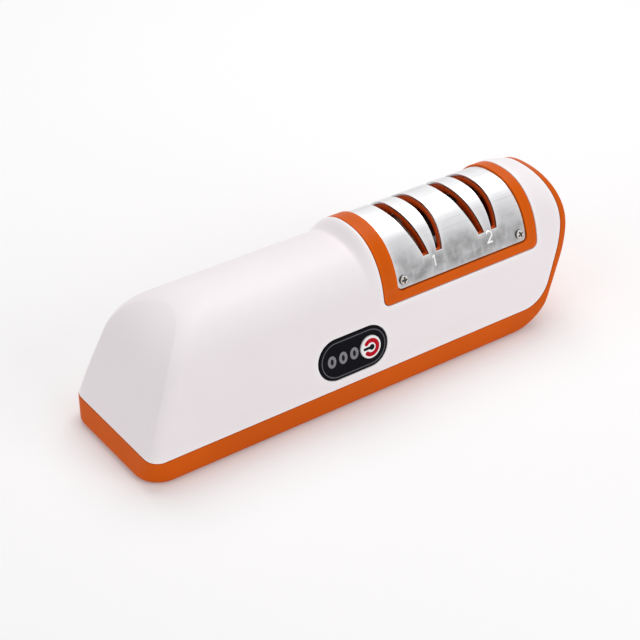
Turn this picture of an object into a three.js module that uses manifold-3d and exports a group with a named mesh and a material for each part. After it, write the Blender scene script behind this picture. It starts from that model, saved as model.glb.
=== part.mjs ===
// Electric knife sharpener: a long plastic housing with a raised grinding head at one end.
// Millimetres, +Z up. The origin is on the table under the middle of the housing.
// +X runs along the housing towards the grinding head, and -Y faces the control panel.
import * as THREE from 'three';
import { mergeVertices } from 'three/addons/utils/BufferGeometryUtils.js';
import Module from 'manifold-3d';

// Housing
const bodyLength = 214.6;
const seamWidth = 61.9;
const baseDepth = 10.2;
const wallDraft = THREE.MathUtils.degToRad(10.2);
const archSpringHeight = 28.4;
const handleHeight = 48.7;
const headHeight = 53.8;
const archSidePower = 2.29;
const archTopPower = 2.71;
const shellWall = 2.2;
const floorThickness = 2.6;
const seamGap = 0.3;
const fitGap = 0.3;
const cutOverrun = 8;

// Left end of the housing: a leaning face that curves over into the handle
const leftLean = THREE.MathUtils.degToRad(22);
const shoulderRadius = 31;
const shoulderDrop = 4.5;
const planCornerRadius = 6;
const creaseTurn = THREE.MathUtils.degToRad(34);
const creaseRadius = 1;
const creaseBandRadius = 6.3;
const creaseRise = 14;
const toeReach = 1.9;
const toeCornerRadius = 11;
const tableEdgeRadius = 2;

// Neck between handle and head
const neckStart = 108.6;
const neckRun = 6.3;

// Right end of the housing: the base turns up into an end wall that bulges outwards
const endWallThickness = 3.6;
const endLean = THREE.MathUtils.degToRad(27);
const endBulgeRadius = 44;
const endBulgeHeight = 46.9;
const endCornerRadius = 22;
const endInnerRadius = 11;
const seamLean = THREE.MathUtils.degToRad(24);
const seamBulgeRadius = 46;
const seamBulgeHeight = 48.9;
const seamCornerRadius = 16;

// Saddle frame, a window piece over the head
const saddleStart = 115.1;
const saddleLength = 81.8;
const saddleBottom = 26.6;
const saddleCornerRadius = 3;
const saddleLedge = 1.8;
const saddleFlange = 2;

// Steel cover plate in the saddle
const plateStart = 123;
const plateLength = 68.2;
const plateBottom = 31.3;
const plateCornerRadius = 2;
const plateThickness = 1;
const plateRecess = 0.8;

// Blade slots, two leaning pairs that close downwards
const firstPairPlace = 143;
const pairPitch = 29.3;
const slotTilt = THREE.MathUtils.degToRad(12.5);
const pairLean = THREE.MathUtils.degToRad(2.7);
const slotFloor = 40.6;
const slotFloorSpread = 3.4;
const slotFloorWidth = 3;
const slotTopWidth = 4.9;
const guideRibDepth = 5;
const guideRibReach = 19;
const guideRibWebShare = 0.5;

// Cover plate screws
const coverScrewInset = 2.2;
const coverScrewRise = 3.4;
const coverScrewHeadRadius = 2;
const coverScrewHeadHeight = 1;
const coverScrewShankRadius = 1.1;
const coverScrewShankLength = 4.4;
const coverScrewBossRadius = 2.6;
const coverScrewBossDepth = 3;

// Control panel on the front wall
const panelPlace = 97.65;
const panelRise = 13.05;
const panelLength = 33.7;
const panelWidth = 17.4;
const panelProud = 0.3;
const panelFlange = 1.5;
const panelFlangeThickness = 1.2;
const panelPostRadius = 1.4;
const panelPostInset = 1.6;

// Power button
const buttonOffset = 8.25;
const buttonRadius = 4.95;
const buttonProud = 0.7;
const buttonTravel = 0.6;
const buttonFlange = 0.9;
const buttonFlangeThickness = 0.9;
const buttonStemRadius = 1.5;
const buttonEdgeRadius = 0.5;

// Indicator lenses
const lensCount = 3;
const lensPitch = 5.5;
const lensMiddleOffset = 5.3;
const lensWidth = 3.6;
const lensHeight = 4.7;
const lensProud = 0.1;
const lensDepth = 2.4;

// Control board behind the panel
const boardLength = 30;
const boardWidth = 15;
const boardThickness = 1.6;
const boardCornerRadius = 1;
const boardDepth = 10.2;
const switchSize = 6;
const switchHeight = 2.6;
const plungerRadius = 1.6;
const plungerHeight = 2;
const plungerProud = 0.9;

// Feet and base screws
const footRadius = 5.5;
const footHeight = 1.6;
const footProud = 0.6;
const footEndInset = 17;
const footSideInset = 10;
const footHeadInset = 46;
const baseScrewInset = 31.6;
const baseScrewHeadInset = 34.5;
const baseScrewSpread = 46;
const baseScrewHeadRadius = 2.7;
const baseScrewHeadHeight = 1.1;
const baseScrewShankRadius = 1.4;
const baseScrewShankLength = 12;
const screwBossRadius = 3.3;
const screwBossTop = 17;
const crossWidth = 0.6;
const crossLengthShare = 1.25;
const crossDepthShare = 0.6;

// Spindle with its grinding wheels
const spindleHeight = 38.4;
const spindleRadius = 3;
const spindleStart = 124.3;
const spindleLength = 62;
const runningClearance = 0.08;
const collarRadius = 5;
const collarThickness = 1.5;
const wheelRadius = 18;
const wheelThickness = 2.8;
const wheelFace = 4.2;
const wheelRimSlope = 6;
const wheelRimBevel = 1.6;
const wheelClearance = 1.2;
const ribWindow = 9.2;
const springRadius = 4.3;
const springWireRadius = 0.3;
const springTurns = 2;

// Bearings and their supports
const bearingRadius = 5.5;
const bearingLength = 5;
const supportThickness = 4.4;
const supportFootWidth = 30;
const supportHeadRadius = 9;
const leftSupportPlace = 132.3;
const rightSupportPlace = 183.9;

// Motor
const motorRadius = 13.85;
const motorLength = 33;
const motorStart = 83.9;
const motorWall = 1.2;
const motorNoseRadius = 5;
const motorNoseLength = 1.6;
const motorShaftRadius = 1.5;
const motorCapLength = 5;
const motorCoreRadius = 9;
const motorCoreLength = 18;
const commutatorRadius = 4;
const couplingRadius = 5.6;
const couplingOverlap = 4;
const couplingGap = 0.5;
const couplingClearance = 0.1;
const cradleThickness = 6;
const cradleWaist = 30;
const cradleEarSpan = 39;
const cradleEarThickness = 3.4;
const cradleDrop = 3;
const cradlePlate = 1.8;
const cradleInset = 2.4;
const strapThickness = 1;
const strapScrewRadius = 1.8;
const strapScrewHeadHeight = 0.9;
const strapScrewShankRadius = 0.9;
const strapScrewShankLength = 5;

// Battery
const cellRadius = 9.2;
const cellLength = 65;
const cellStart = 13.1;
const cellTipRadius = 2.8;
const cellTipLength = 1.2;
const cellSplit = 0.6;
const trayWidth = 36.8;
const trayEndWall = 1.6;
const trayLift = 2.2;
const trayDrop = 3;
const contactThickness = 0.6;
const contactWidth = 12;
const contactHeight = 8.6;

// Charging socket in the end wall
const socketWidth = 9;
const socketHeight = 3.3;
const socketShell = 0.4;
const socketLength = 8;
const socketRise = 12.8;
const socketSetBack = 0.6;
const socketTongueThickness = 0.7;
const socketTongueShare = 0.72;
const socketBack = 1;
const socketTongueShyness = 1.2;
const chargeBoardLength = 14;
const chargeBoardWidth = 16;
const chargePostWidth = 3;
const chargePostInset = 2;

// Leads from the cells, the motor and the charging board to the control board
const leadRadius = 0.6;
const leadSpacing = 1.8;
const leadRise = 2.4;
const leadTurn = 3;
const motorTerminalDrop = 6;
const motorTerminalSide = 5;
const boardLeadInset = 3;
const cableRadius = 1;
const cableSide = 17.4;

// Mesh steps
const archSteps = 20;
const shoulderSteps = 6;
const tableEdgeSteps = 3;
const neckSteps = 5;
const roundSides = 24;
const smallSides = 10;
const arcSteps = 6;
const springSides = 5;
const leadSides = 6;
const leadSteps = 14;
const cableSteps = 24;
const springTurnSteps = 8;

// Places worked out from the sizes above
const baseBottom = footProud;
const seamZ = baseBottom + baseDepth;
const springLineZ = seamZ + archSpringHeight;
const handleTopZ = seamZ + handleHeight;
const headTopZ = seamZ + headHeight;
const leftX = -bodyLength / 2;
const rightX = bodyLength / 2;
const shellX = leftX + toeReach;
const innerFloorZ = baseBottom + floorThickness;
const axisZ = baseBottom + spindleHeight;
const slotFloorZ = seamZ + slotFloor;
const pairXs = [leftX + firstPairPlace, leftX + firstPairPlace + pairPitch];
const farY = seamWidth / 2 + cutOverrun;
const farZ = headTopZ + cutOverrun;

const unitX = new THREE.Vector3(1, 0, 0);
const unitY = new THREE.Vector3(0, 1, 0);
const unitZ = new THREE.Vector3(0, 0, 1);

const wasm = await Module();
wasm.setup();

// Closed geometry to solid, and back
function solid(geometry) {
  const bare = geometry.clone();
  bare.deleteAttribute('normal');
  bare.deleteAttribute('uv');
  const merged = mergeVertices(bare);
  const mesh = new wasm.Mesh({
    numProp: 3,
    vertProperties: new Float32Array(merged.attributes.position.array),
    triVerts: new Uint32Array(merged.index.array),
  });
  return new wasm.Manifold(mesh);
}

function geometryOf(body) {
  const mesh = body.getMesh();
  const geometry = new THREE.BufferGeometry();
  geometry.setAttribute('position', new THREE.BufferAttribute(new Float32Array(mesh.vertProperties), 3));
  geometry.setIndex(new THREE.BufferAttribute(new Uint32Array(mesh.triVerts), 1));
  geometry.computeVertexNormals();
  return geometry;
}

function union(solids) {
  return solids.reduce((sum, next) => sum.add(next));
}

function without(body, cuts) {
  return cuts.reduce((rest, cut) => rest.subtract(cut), body);
}

// Straight extrusions of a flat outline along each axis
function extruded(shape, depth) {
  return new THREE.ExtrudeGeometry(shape, { depth, bevelEnabled: false, curveSegments: arcSteps });
}

function alongX(shape, from, to) {
  const turn = new THREE.Matrix4().makeBasis(unitY, unitZ, unitX).setPosition(from, 0, 0);
  return extruded(shape, to - from).applyMatrix4(turn);
}

function alongY(shape, from, to) {
  const turn = new THREE.Matrix4().makeBasis(unitX, unitZ, unitY.clone().negate()).setPosition(0, to, 0);
  return extruded(shape, to - from).applyMatrix4(turn);
}

function alongZ(shape, from, to) {
  return extruded(shape, to - from).translate(0, 0, from);
}

function polygon(points) {
  return new THREE.Shape(points.map(([a, b]) => new THREE.Vector2(a, b)));
}

// Points of an arc about a centre
function arc(a, b, radius, from, to, steps = arcSteps) {
  return Array.from({ length: steps + 1 }, (_, i) => {
    const turn = from + ((to - from) * i) / steps;
    return [a + radius * Math.cos(turn), b + radius * Math.sin(turn)];
  });
}

function roundedRectangle(width, height, radius) {
  const a = width / 2 - radius;
  const b = height / 2 - radius;
  const quarter = Math.PI / 2;
  return polygon([...arc(a, -b, radius, -quarter, 0), ...arc(a, b, radius, 0, quarter),
    ...arc(-a, b, radius, quarter, 2 * quarter), ...arc(-a, -b, radius, 2 * quarter, 3 * quarter)]);
}

function disc(radius, sides = roundSides) {
  const ring = [];
  for (let i = 0; i < sides; i += 1) {
    const turn = (2 * Math.PI * i) / sides;
    ring.push([radius * Math.cos(turn), radius * Math.sin(turn)]);
  }
  return polygon(ring);
}

// A box given by its corners
function block(x0, x1, y0, y1, z0, z1) {
  const box = new THREE.BoxGeometry(x1 - x0, y1 - y0, z1 - z0);
  return box.translate((x0 + x1) / 2, (y0 + y1) / 2, (z0 + z1) / 2);
}

// Turned piece about its own Z axis, from a profile of [radius, height] pairs
function turned(profile, sides = roundSides) {
  const points = profile.map(([radius, height]) => new THREE.Vector2(radius, height));
  return new THREE.LatheGeometry(points, sides);
}

function turnedAlongX(profile, sides = roundSides) {
  const geometry = turned(profile, sides);
  const turn = new THREE.Matrix4().makeBasis(unitY, unitX, unitZ.clone().negate());
  return geometry.applyMatrix4(turn);
}

function turnedAlongZ(profile, sides = roundSides) {
  return turned(profile, sides).rotateX(Math.PI / 2);
}

// Half width of the drafted side wall at a height
function wallHalfWidth(z) {
  return seamWidth / 2 - Math.max(0, z - seamZ) * Math.tan(wallDraft);
}

// Cross-section of the housing from its front foot over the arch to its back foot
function archOutline(topZ, footZ) {
  const points = [[-wallHalfWidth(footZ), footZ]];
  if (footZ < seamZ) points.push([-wallHalfWidth(seamZ), seamZ]);
  const rise = topZ - springLineZ;
  for (let i = 0; i <= archSteps; i += 1) {
    const angle = (Math.PI * i) / archSteps;
    const side = Math.abs(Math.cos(angle)) ** (2 / archSidePower);
    const z = springLineZ + rise * Math.abs(Math.sin(angle)) ** (2 / archTopPower);
    points.push([-Math.sign(Math.cos(angle)) * side * wallHalfWidth(z), z]);
  }
  if (footZ < seamZ) points.push([wallHalfWidth(seamZ), seamZ]);
  points.push([wallHalfWidth(footZ), footZ]);
  return points;
}

// The same outline set in by a depth, point by point along its mean normal
function insetOutline(points, depth) {
  return points.map(([y, z], i) => {
    const [yBefore, zBefore] = points[Math.max(0, i - 1)];
    const [yAfter, zAfter] = points[Math.min(points.length - 1, i + 1)];
    const run = Math.hypot(yAfter - yBefore, zAfter - zBefore);
    return [y + (depth * (zAfter - zBefore)) / run, z - (depth * (yAfter - yBefore)) / run];
  });
}

function sectionAt(topZ, depth, footZ = seamZ) {
  return insetOutline(archOutline(topZ, footZ), depth);
}

// A layer of the head's skin between two depths, from one X to another
function skinLayer(outerDepth, innerDepth, fromX, toX) {
  const footZ = seamZ + fitGap;
  const outer = solid(alongX(polygon(sectionAt(headTopZ, outerDepth, footZ)), fromX, toX));
  const hollowOutline = sectionAt(headTopZ, innerDepth, footZ);
  const last = hollowOutline.length - 1;
  const lowered = hollowOutline.map(([y, z], i) => [y, i === 0 || i === last ? z - cutOverrun : z]);
  return outer.subtract(solid(alongX(polygon(lowered), fromX - fitGap, toX + fitGap)));
}

// Point and outward lean of the front skin of the head at a height
function frontSkinAt(z, depth) {
  const outline = sectionAt(headTopZ, depth);
  const i = outline.findIndex(([, height]) => height > z);
  const [y0, z0] = outline[i - 1];
  const [y1, z1] = outline[i];
  const share = (z - z0) / (z1 - z0);
  return { y: y0 + share * (y1 - y0), lean: Math.atan2(y1 - y0, z1 - z0) };
}

// Side outline of all that lies left of a bulging end, above a floor height:
// a corner arc, a leaning line and the arc of the bulge
function endOutline(end, floorZ, start) {
  const { bulgeX, bulgeZ, bulge, corner, lean } = end;
  const cornerZ = floorZ + corner;
  const reach = bulge - corner + (cornerZ - bulgeZ) * Math.sin(lean);
  const cornerX = bulgeX + reach / Math.cos(lean);
  const topTurn = Math.asin((headTopZ + fitGap - bulgeZ) / bulge);
  return polygon([...start, ...arc(cornerX, cornerZ, corner, -Math.PI / 2, -lean),
    ...arc(bulgeX, bulgeZ, bulge, -lean, topTurn, 2 * arcSteps), [bulgeX, farZ], [start[0][0], farZ]]);
}

// The outer face of the end wall, set in by a depth
function outerEnd(depth) {
  const bulgeX = rightX - endBulgeRadius;
  const bulgeZ = baseBottom + endBulgeHeight;
  const corner = depth > 0 ? endInnerRadius : endCornerRadius;
  return { bulgeX, bulgeZ, bulge: endBulgeRadius - depth, corner, lean: endLean };
}

// The seam between end wall and upper housing, set in by a depth
function seamEnd(depth) {
  const bulgeX = rightX - endWallThickness - seamBulgeRadius;
  const bulgeZ = baseBottom + seamBulgeHeight;
  return { bulgeX, bulgeZ, bulge: seamBulgeRadius - depth, corner: seamCornerRadius, lean: seamLean };
}

// Plan outline with round corners at the left end and a square right end
function planOutline(x0, y0, radius) {
  const farX = rightX + cutOverrun;
  return [[farX, -y0], [farX, y0], ...arc(x0 + radius, y0 - radius, radius, Math.PI / 2, Math.PI),
    ...arc(x0 + radius, radius - y0, radius, Math.PI, 1.5 * Math.PI)];
}

// Outer plan of the base as rings: round table edges, then walls that narrow towards the seam
function basePlan() {
  const ring = (z, inset) => {
    const rise = z - baseBottom - tableEdgeRadius;
    const share = Math.min(1, Math.max(0, rise / (baseDepth - tableEdgeRadius)));
    const radius = toeCornerRadius + (planCornerRadius - toeCornerRadius) * share;
    const outline = planOutline(leftX + toeReach * share + inset, seamWidth / 2 - inset, radius);
    return outline.map(([x, y]) => [x, y, z]);
  };
  const rings = [ring(farZ, 0), ring(seamZ, 0)];
  for (let i = tableEdgeSteps; i >= 0; i -= 1) {
    const turn = (Math.PI * i) / (2 * tableEdgeSteps);
    const rise = tableEdgeRadius * (1 - Math.cos(turn));
    rings.push(ring(baseBottom + rise, tableEdgeRadius * (1 - Math.sin(turn))));
  }
  return rings;
}

// Run and inset of the left corner at a turn: round at the seam, and creased beside the face higher up
function cornerAt(turn, rise) {
  const share = Math.min(1, Math.max(0, rise / creaseRise));
  const crease = share * share * (3 - 2 * share);
  const tight = Math.min(turn, creaseTurn);
  const wide = Math.max(turn, creaseTurn);
  const tightRun = creaseRadius * (1 - Math.cos(tight));
  const wideRun = creaseBandRadius * (Math.cos(creaseTurn) - Math.cos(wide));
  const tightInset = creaseRadius * (Math.sin(creaseTurn) - Math.sin(tight));
  const wideInset = creaseBandRadius * (1 - Math.sin(wide));
  const roundRun = planCornerRadius * (1 - Math.cos(turn));
  const roundInset = planCornerRadius * (1 - Math.sin(turn));
  return {
    run: roundRun + (tightRun + wideRun - roundRun) * crease,
    inset: roundInset + (tightInset + wideInset - roundInset) * crease,
  };
}

// Skin of the upper housing as rings from the left end to past the right end
function upperSkin(depth) {
  const height = handleTopZ - seamZ;
  const shoulderZ = handleTopZ - shoulderRadius;
  const tangentZ = shoulderZ + shoulderRadius * Math.sin(leftLean);
  const tangentX = shellX + (tangentZ - seamZ) * Math.tan(leftLean);
  const shoulderX = tangentX + shoulderRadius * Math.cos(leftLean);
  const endX = (z) => (z < tangentZ ? shellX + (z - seamZ) * Math.tan(leftLean)
    : shoulderX - Math.sqrt(Math.max(0, shoulderRadius ** 2 - (z - shoulderZ) ** 2)));
  const rings = [];
  for (let i = 0; i <= shoulderSteps; i += 1) {
    const turn = (Math.PI / 2) * (i / shoulderSteps);
    const ring = sectionAt(handleTopZ, depth).map(([y, z]) => {
      const { run, inset } = cornerAt(turn, z - seamZ);
      const ringZ = seamZ + (z - seamZ) * (1 - (shoulderDrop * inset) / (planCornerRadius * height));
      return [endX(ringZ + depth) + depth + run, y * (1 - (2 * inset) / seamWidth), ringZ];
    });
    rings.push(ring);
  }
  for (let i = 0; i <= neckSteps; i += 1) {
    const share = i / neckSteps;
    const soft = share * share * (3 - 2 * share);
    const x = leftX + neckStart + neckRun * share;
    const topZ = handleTopZ + (headTopZ - handleTopZ) * soft;
    rings.push(sectionAt(topZ, depth).map(([y, z]) => [x, y, z]));
  }
  rings.push(sectionAt(headTopZ, depth).map(([y, z]) => [rightX + cutOverrun, y, z]));
  return rings;
}

// Closed body through rings of equal count, its two ends spanned by straight lines from side to side
function lofted(rings) {
  const count = rings[0].length;
  const positions = rings.flat(2);
  const index = [];
  for (let r = 0; r + 1 < rings.length; r += 1) {
    for (let i = 0; i < count; i += 1) {
      const a = r * count + i;
      const b = r * count + ((i + 1) % count);
      index.push(a, a + count, b, b, a + count, b + count);
    }
  }
  const last = (rings.length - 1) * count;
  for (let i = 0, j = count - 1; i + 1 < j; i += 1, j -= 1) {
    index.push(i, i + 1, j, last + i, last + j, last + i + 1);
    if (i + 1 < j - 1) index.push(i + 1, j - 1, j, last + i + 1, last + j, last + j - 1);
  }
  const geometry = new THREE.BufferGeometry();
  geometry.setAttribute('position', new THREE.BufferAttribute(new Float32Array(positions), 3));
  geometry.setIndex(index);
  return geometry;
}

// Round wire through a list of points
function wire(points, steps, radius, sides) {
  const curve = new THREE.CatmullRomCurve3(points.map(([x, y, z]) => new THREE.Vector3(x, y, z)));
  const frames = curve.computeFrenetFrames(steps, false);
  const rings = frames.normals.map((normal, i) => {
    const centre = curve.getPointAt(i / steps);
    return Array.from({ length: sides }, (_, k) => {
      const lap = (-2 * Math.PI * k) / sides;
      return centre.clone().addScaledVector(normal, radius * Math.cos(lap))
        .addScaledVector(frames.binormals[i], radius * Math.sin(lap)).toArray();
    });
  });
  return lofted(rings);
}

// Materials, one per finish
const finishes = {
  shell: { color: 0xece7e8, roughness: 0.42, metalness: 0 },
  orange: { color: 0xd9600f, roughness: 0.45, metalness: 0 },
  steel: { color: 0xb9bbbd, roughness: 0.32, metalness: 1 },
  chrome: { color: 0xd8d8da, roughness: 0.18, metalness: 1 },
  panel: { color: 0x17181b, roughness: 0.35, metalness: 0 },
  button: { color: 0xf2f2f2, roughness: 0.4, metalness: 0 },
  lens: { color: 0x8e9092, roughness: 0.3, metalness: 0 },
  rubber: { color: 0x2a2a2c, roughness: 0.85, metalness: 0 },
  board: { color: 0x1f6b3a, roughness: 0.55, metalness: 0 },
  black: { color: 0x202022, roughness: 0.6, metalness: 0 },
  zinc: { color: 0xa9abad, roughness: 0.4, metalness: 1 },
  bronze: { color: 0xb08750, roughness: 0.4, metalness: 1 },
  fineStone: { color: 0xd9d4c8, roughness: 0.9, metalness: 0 },
  coarseStone: { color: 0x6f6a66, roughness: 0.95, metalness: 0 },
  copper: { color: 0xb5622f, roughness: 0.45, metalness: 1 },
  cell: { color: 0x2b6fb3, roughness: 0.4, metalness: 0 },
  redLead: { color: 0xb3201c, roughness: 0.5, metalness: 0 },
};

const sharpener = new THREE.Group();

function addPiece(name, geometry, finish, parent = sharpener) {
  const piece = new THREE.Mesh(geometry, new THREE.MeshStandardMaterial(finishes[finish]));
  piece.name = name;
  parent.add(piece);
  return piece;
}

// Blade slots as slanted prisms across the head, widened by a margin
function slotOutline(pairX, side, margin) {
  const outline = [];
  for (const z of [slotFloorZ - margin, farZ]) {
    const rise = z - slotFloorZ;
    const share = rise / (headTopZ - slotFloorZ);
    const half = (slotFloorWidth + (slotTopWidth - slotFloorWidth) * share) / 2 + margin;
    const middle = pairX + side * (slotFloorSpread + rise * Math.tan(slotTilt - side * pairLean));
    outline.push([middle - half, z], [middle + half, z]);
  }
  return polygon([outline[0], outline[1], outline[3], outline[2]]);
}

function slotCuts(margin) {
  const cut = (x, side) => solid(alongY(slotOutline(x, side, margin), -farY, farY));
  return pairXs.flatMap((x) => [-1, 1].map((side) => cut(x, side)));
}

// Side outline of a window over the head: square at the top, rounded below
function windowOutline(startX, length, bottomZ, radius, grow) {
  const x0 = startX - grow;
  const x1 = startX + length + grow;
  const z0 = bottomZ - grow;
  return polygon([[x0, farZ], ...arc(x0 + radius, z0 + radius, radius, Math.PI, 1.5 * Math.PI),
    ...arc(x1 - radius, z0 + radius, radius, -Math.PI / 2, 0), [x1, farZ]]);
}

const saddleX = leftX + saddleStart;
const saddleZ = seamZ + saddleBottom;
const plateX = leftX + plateStart;
const plateZ = seamZ + plateBottom;
const plateInner = plateRecess + plateThickness;
const ledgeOuter = plateInner + fitGap;
const ledgeInner = ledgeOuter + saddleLedge;

// Cover screw frames, on the front and the back of the plate
const coverScrewZ = plateZ + coverScrewRise;
const coverScrewSkin = frontSkinAt(coverScrewZ, plateRecess);
const coverScrewFrames = [];
for (const side of [-1, 1]) {
  for (const x of [plateX + coverScrewInset + coverScrewHeadRadius / 2,
    plateX + plateLength - coverScrewInset - coverScrewHeadRadius / 2]) {
    const frame = new THREE.Group();
    frame.position.set(x, -side * coverScrewSkin.y, coverScrewZ);
    frame.rotation.x = -side * (Math.PI / 2 - coverScrewSkin.lean);
    frame.updateMatrixWorld(true);
    coverScrewFrames.push(frame);
  }
}

function rod(radius, from, to, sides = smallSides) {
  return turnedAlongZ([[0, from], [radius, from], [radius, to], [0, to]], sides);
}

// Pan-head screw along its own Z axis: head above zero, shank below
function screw(headRadius, headHeight, shankRadius, shankLength) {
  const crown = headHeight / 2;
  const profile = [[0, -shankLength], [shankRadius, -shankLength], [shankRadius, 0], [headRadius, 0],
    [headRadius, crown], [headRadius - crown, headHeight], [0, headHeight]];
  const body = solid(turnedAlongZ(profile, smallSides));
  const half = (headRadius * crossLengthShare) / 2;
  const floor = headHeight * (1 - crossDepthShare);
  const bar = solid(block(-half, half, -crossWidth / 2, crossWidth / 2, floor, headHeight * 2));
  const crossBar = solid(block(-crossWidth / 2, crossWidth / 2, -half, half, floor, headHeight * 2));
  return geometryOf(body.subtract(bar.add(crossBar)));
}

// Panel frame: its Z axis is the outward normal of the drafted front wall
const panelZ = seamZ + panelRise;
const panelFrame = new THREE.Group();
panelFrame.position.set(leftX + panelPlace, -wallHalfWidth(panelZ), panelZ);
panelFrame.rotation.x = Math.PI / 2 - wallDraft;
panelFrame.updateMatrixWorld(true);
sharpener.add(panelFrame);

// Screw places in the base, near its four corners
const baseScrewPlaces = [];
for (const x of [leftX + baseScrewInset, rightX - baseScrewHeadInset]) {
  for (const side of [-1, 1]) baseScrewPlaces.push([x, (side * baseScrewSpread) / 2]);
}

const footPlaces = [];
for (const x of [leftX + footEndInset, rightX - footHeadInset]) {
  for (const side of [-1, 1]) footPlaces.push([x, side * (seamWidth / 2 - footSideInset)]);
}

// Charging socket place
const socketZ = baseBottom + baseDepth + socketRise;

// X of the leaning end wall at a height, at a depth from its outer face
function endWallX(z, depth) {
  const reach = endBulgeRadius - depth + (z - baseBottom - endBulgeHeight) * Math.sin(endLean);
  return rightX - endBulgeRadius + reach / Math.cos(endLean);
}

const socketMouthX = endWallX(socketZ, socketSetBack);

const chargeBoardZ = socketZ - socketHeight / 2 - socketShell - fitGap - boardThickness;
const chargeBoardX = endWallX(chargeBoardZ, endWallThickness) - chargeBoardLength - 2 * fitGap;

function socketOutline(grow) {
  const height = socketHeight + 2 * grow;
  return roundedRectangle(socketWidth + 2 * grow, height, height / 2);
}

// Base housing: a shallow tray that turns up into the end wall
function buildBase() {
  const wide = rightX + cutOverrun;
  const shell = solid(alongX(polygon(archOutline(headTopZ, baseBottom)), leftX, wide));
  const side = solid(alongY(endOutline(outerEnd(0), baseBottom, [[leftX, baseBottom]]), -farY, farY));
  const outer = shell.intersect(side).intersect(solid(lofted(basePlan())));
  const upper = solid(alongY(endOutline(seamEnd(0), seamZ, [[leftX - cutOverrun, seamZ]]), -farY, farY));
  const inner = polygon(planOutline(shellX + shellWall, seamWidth / 2 - shellWall, planCornerRadius));
  const trayHollow = solid(alongZ(inner, innerFloorZ, farZ));
  const hollowSide = endOutline(outerEnd(endWallThickness), innerFloorZ, [[leftX, innerFloorZ]]);
  const hollow = trayHollow.intersect(solid(alongY(hollowSide, -farY, farY)));
  const wall = solid(alongX(polygon(sectionAt(headTopZ, shellWall, baseBottom)), leftX, wide));
  const cuts = [upper, hollow.intersect(wall)];
  for (const [x, y] of footPlaces) {
    const depth = footHeight - footProud + fitGap;
    cuts.push(solid(rod(footRadius + fitGap, 0, baseBottom + depth).translate(x, y, 0)));
  }
  for (const [x, y] of baseScrewPlaces) {
    const sink = baseBottom + baseScrewHeadHeight + fitGap;
    cuts.push(solid(rod(baseScrewHeadRadius + fitGap, 0, sink).translate(x, y, 0)));
    cuts.push(solid(rod(baseScrewShankRadius + fitGap, 0, seamZ).translate(x, y, 0)));
  }
  const port = alongX(socketOutline(socketShell + fitGap), socketMouthX - socketLength, wide);
  cuts.push(solid(port.translate(0, 0, socketZ)));
  const posts = [-1, 1].map((half) => {
    const y = half * (chargeBoardWidth / 2 - chargePostInset);
    const x = chargeBoardX + chargeBoardLength / 2;
    const thick = chargePostWidth / 2;
    const post = block(x - thick, x + thick, y - thick, y + thick, 0, chargeBoardZ - fitGap);
    return solid(post).intersect(outer);
  });
  return geometryOf(union([without(outer, cuts), ...posts]));
}

// Upper housing: the white shell with its saddle window, panel opening and screw columns
function buildUpper() {
  const skin = solid(lofted(upperSkin(0)));
  const room = upperSkin(shellWall).map((ring) => {
    const last = ring.length - 1;
    return ring.map(([x, y, z], i) => [x, y, i === 0 || i === last ? z - fitGap : z]);
  });
  const footZ = seamZ + seamGap;
  const side = endOutline(seamEnd(seamGap), footZ, [[leftX - cutOverrun, footZ]]);
  let body = skin.intersect(solid(alongY(side, -farY, farY)));
  const hollow = solid(lofted(room));
  body = body.subtract(hollow);
  const columns = baseScrewPlaces.map(([x, y]) => {
    const bottom = innerFloorZ + fitGap;
    return solid(rod(screwBossRadius, bottom, seamZ + screwBossTop).translate(x, y, 0));
  });
  body = union([body, ...columns.map((column) => column.intersect(skin.add(solid(
    block(leftX + shellWall, rightX, -farY, farY, 0, seamZ + fitGap)))))]);
  const windowSide = windowOutline(saddleX, saddleLength, saddleZ, saddleCornerRadius, 0);
  const window = solid(alongY(windowSide, -farY, farY));
  const openingWidth = panelWidth + 2 * fitGap;
  const opening = roundedRectangle(panelLength + 2 * fitGap, openingWidth, openingWidth / 2);
  const panelCut = extruded(opening, cutOverrun + shellWall * 2).translate(0, 0, -shellWall * 2);
  const cuts = [window, solid(panelCut.applyMatrix4(panelFrame.matrixWorld))];
  for (const [x, y] of baseScrewPlaces) {
    const top = innerFloorZ + baseScrewShankLength + fitGap;
    cuts.push(solid(rod(baseScrewShankRadius + fitGap, 0, top).translate(x, y, 0)));
  }
  return geometryOf(without(body, cuts));
}

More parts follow.
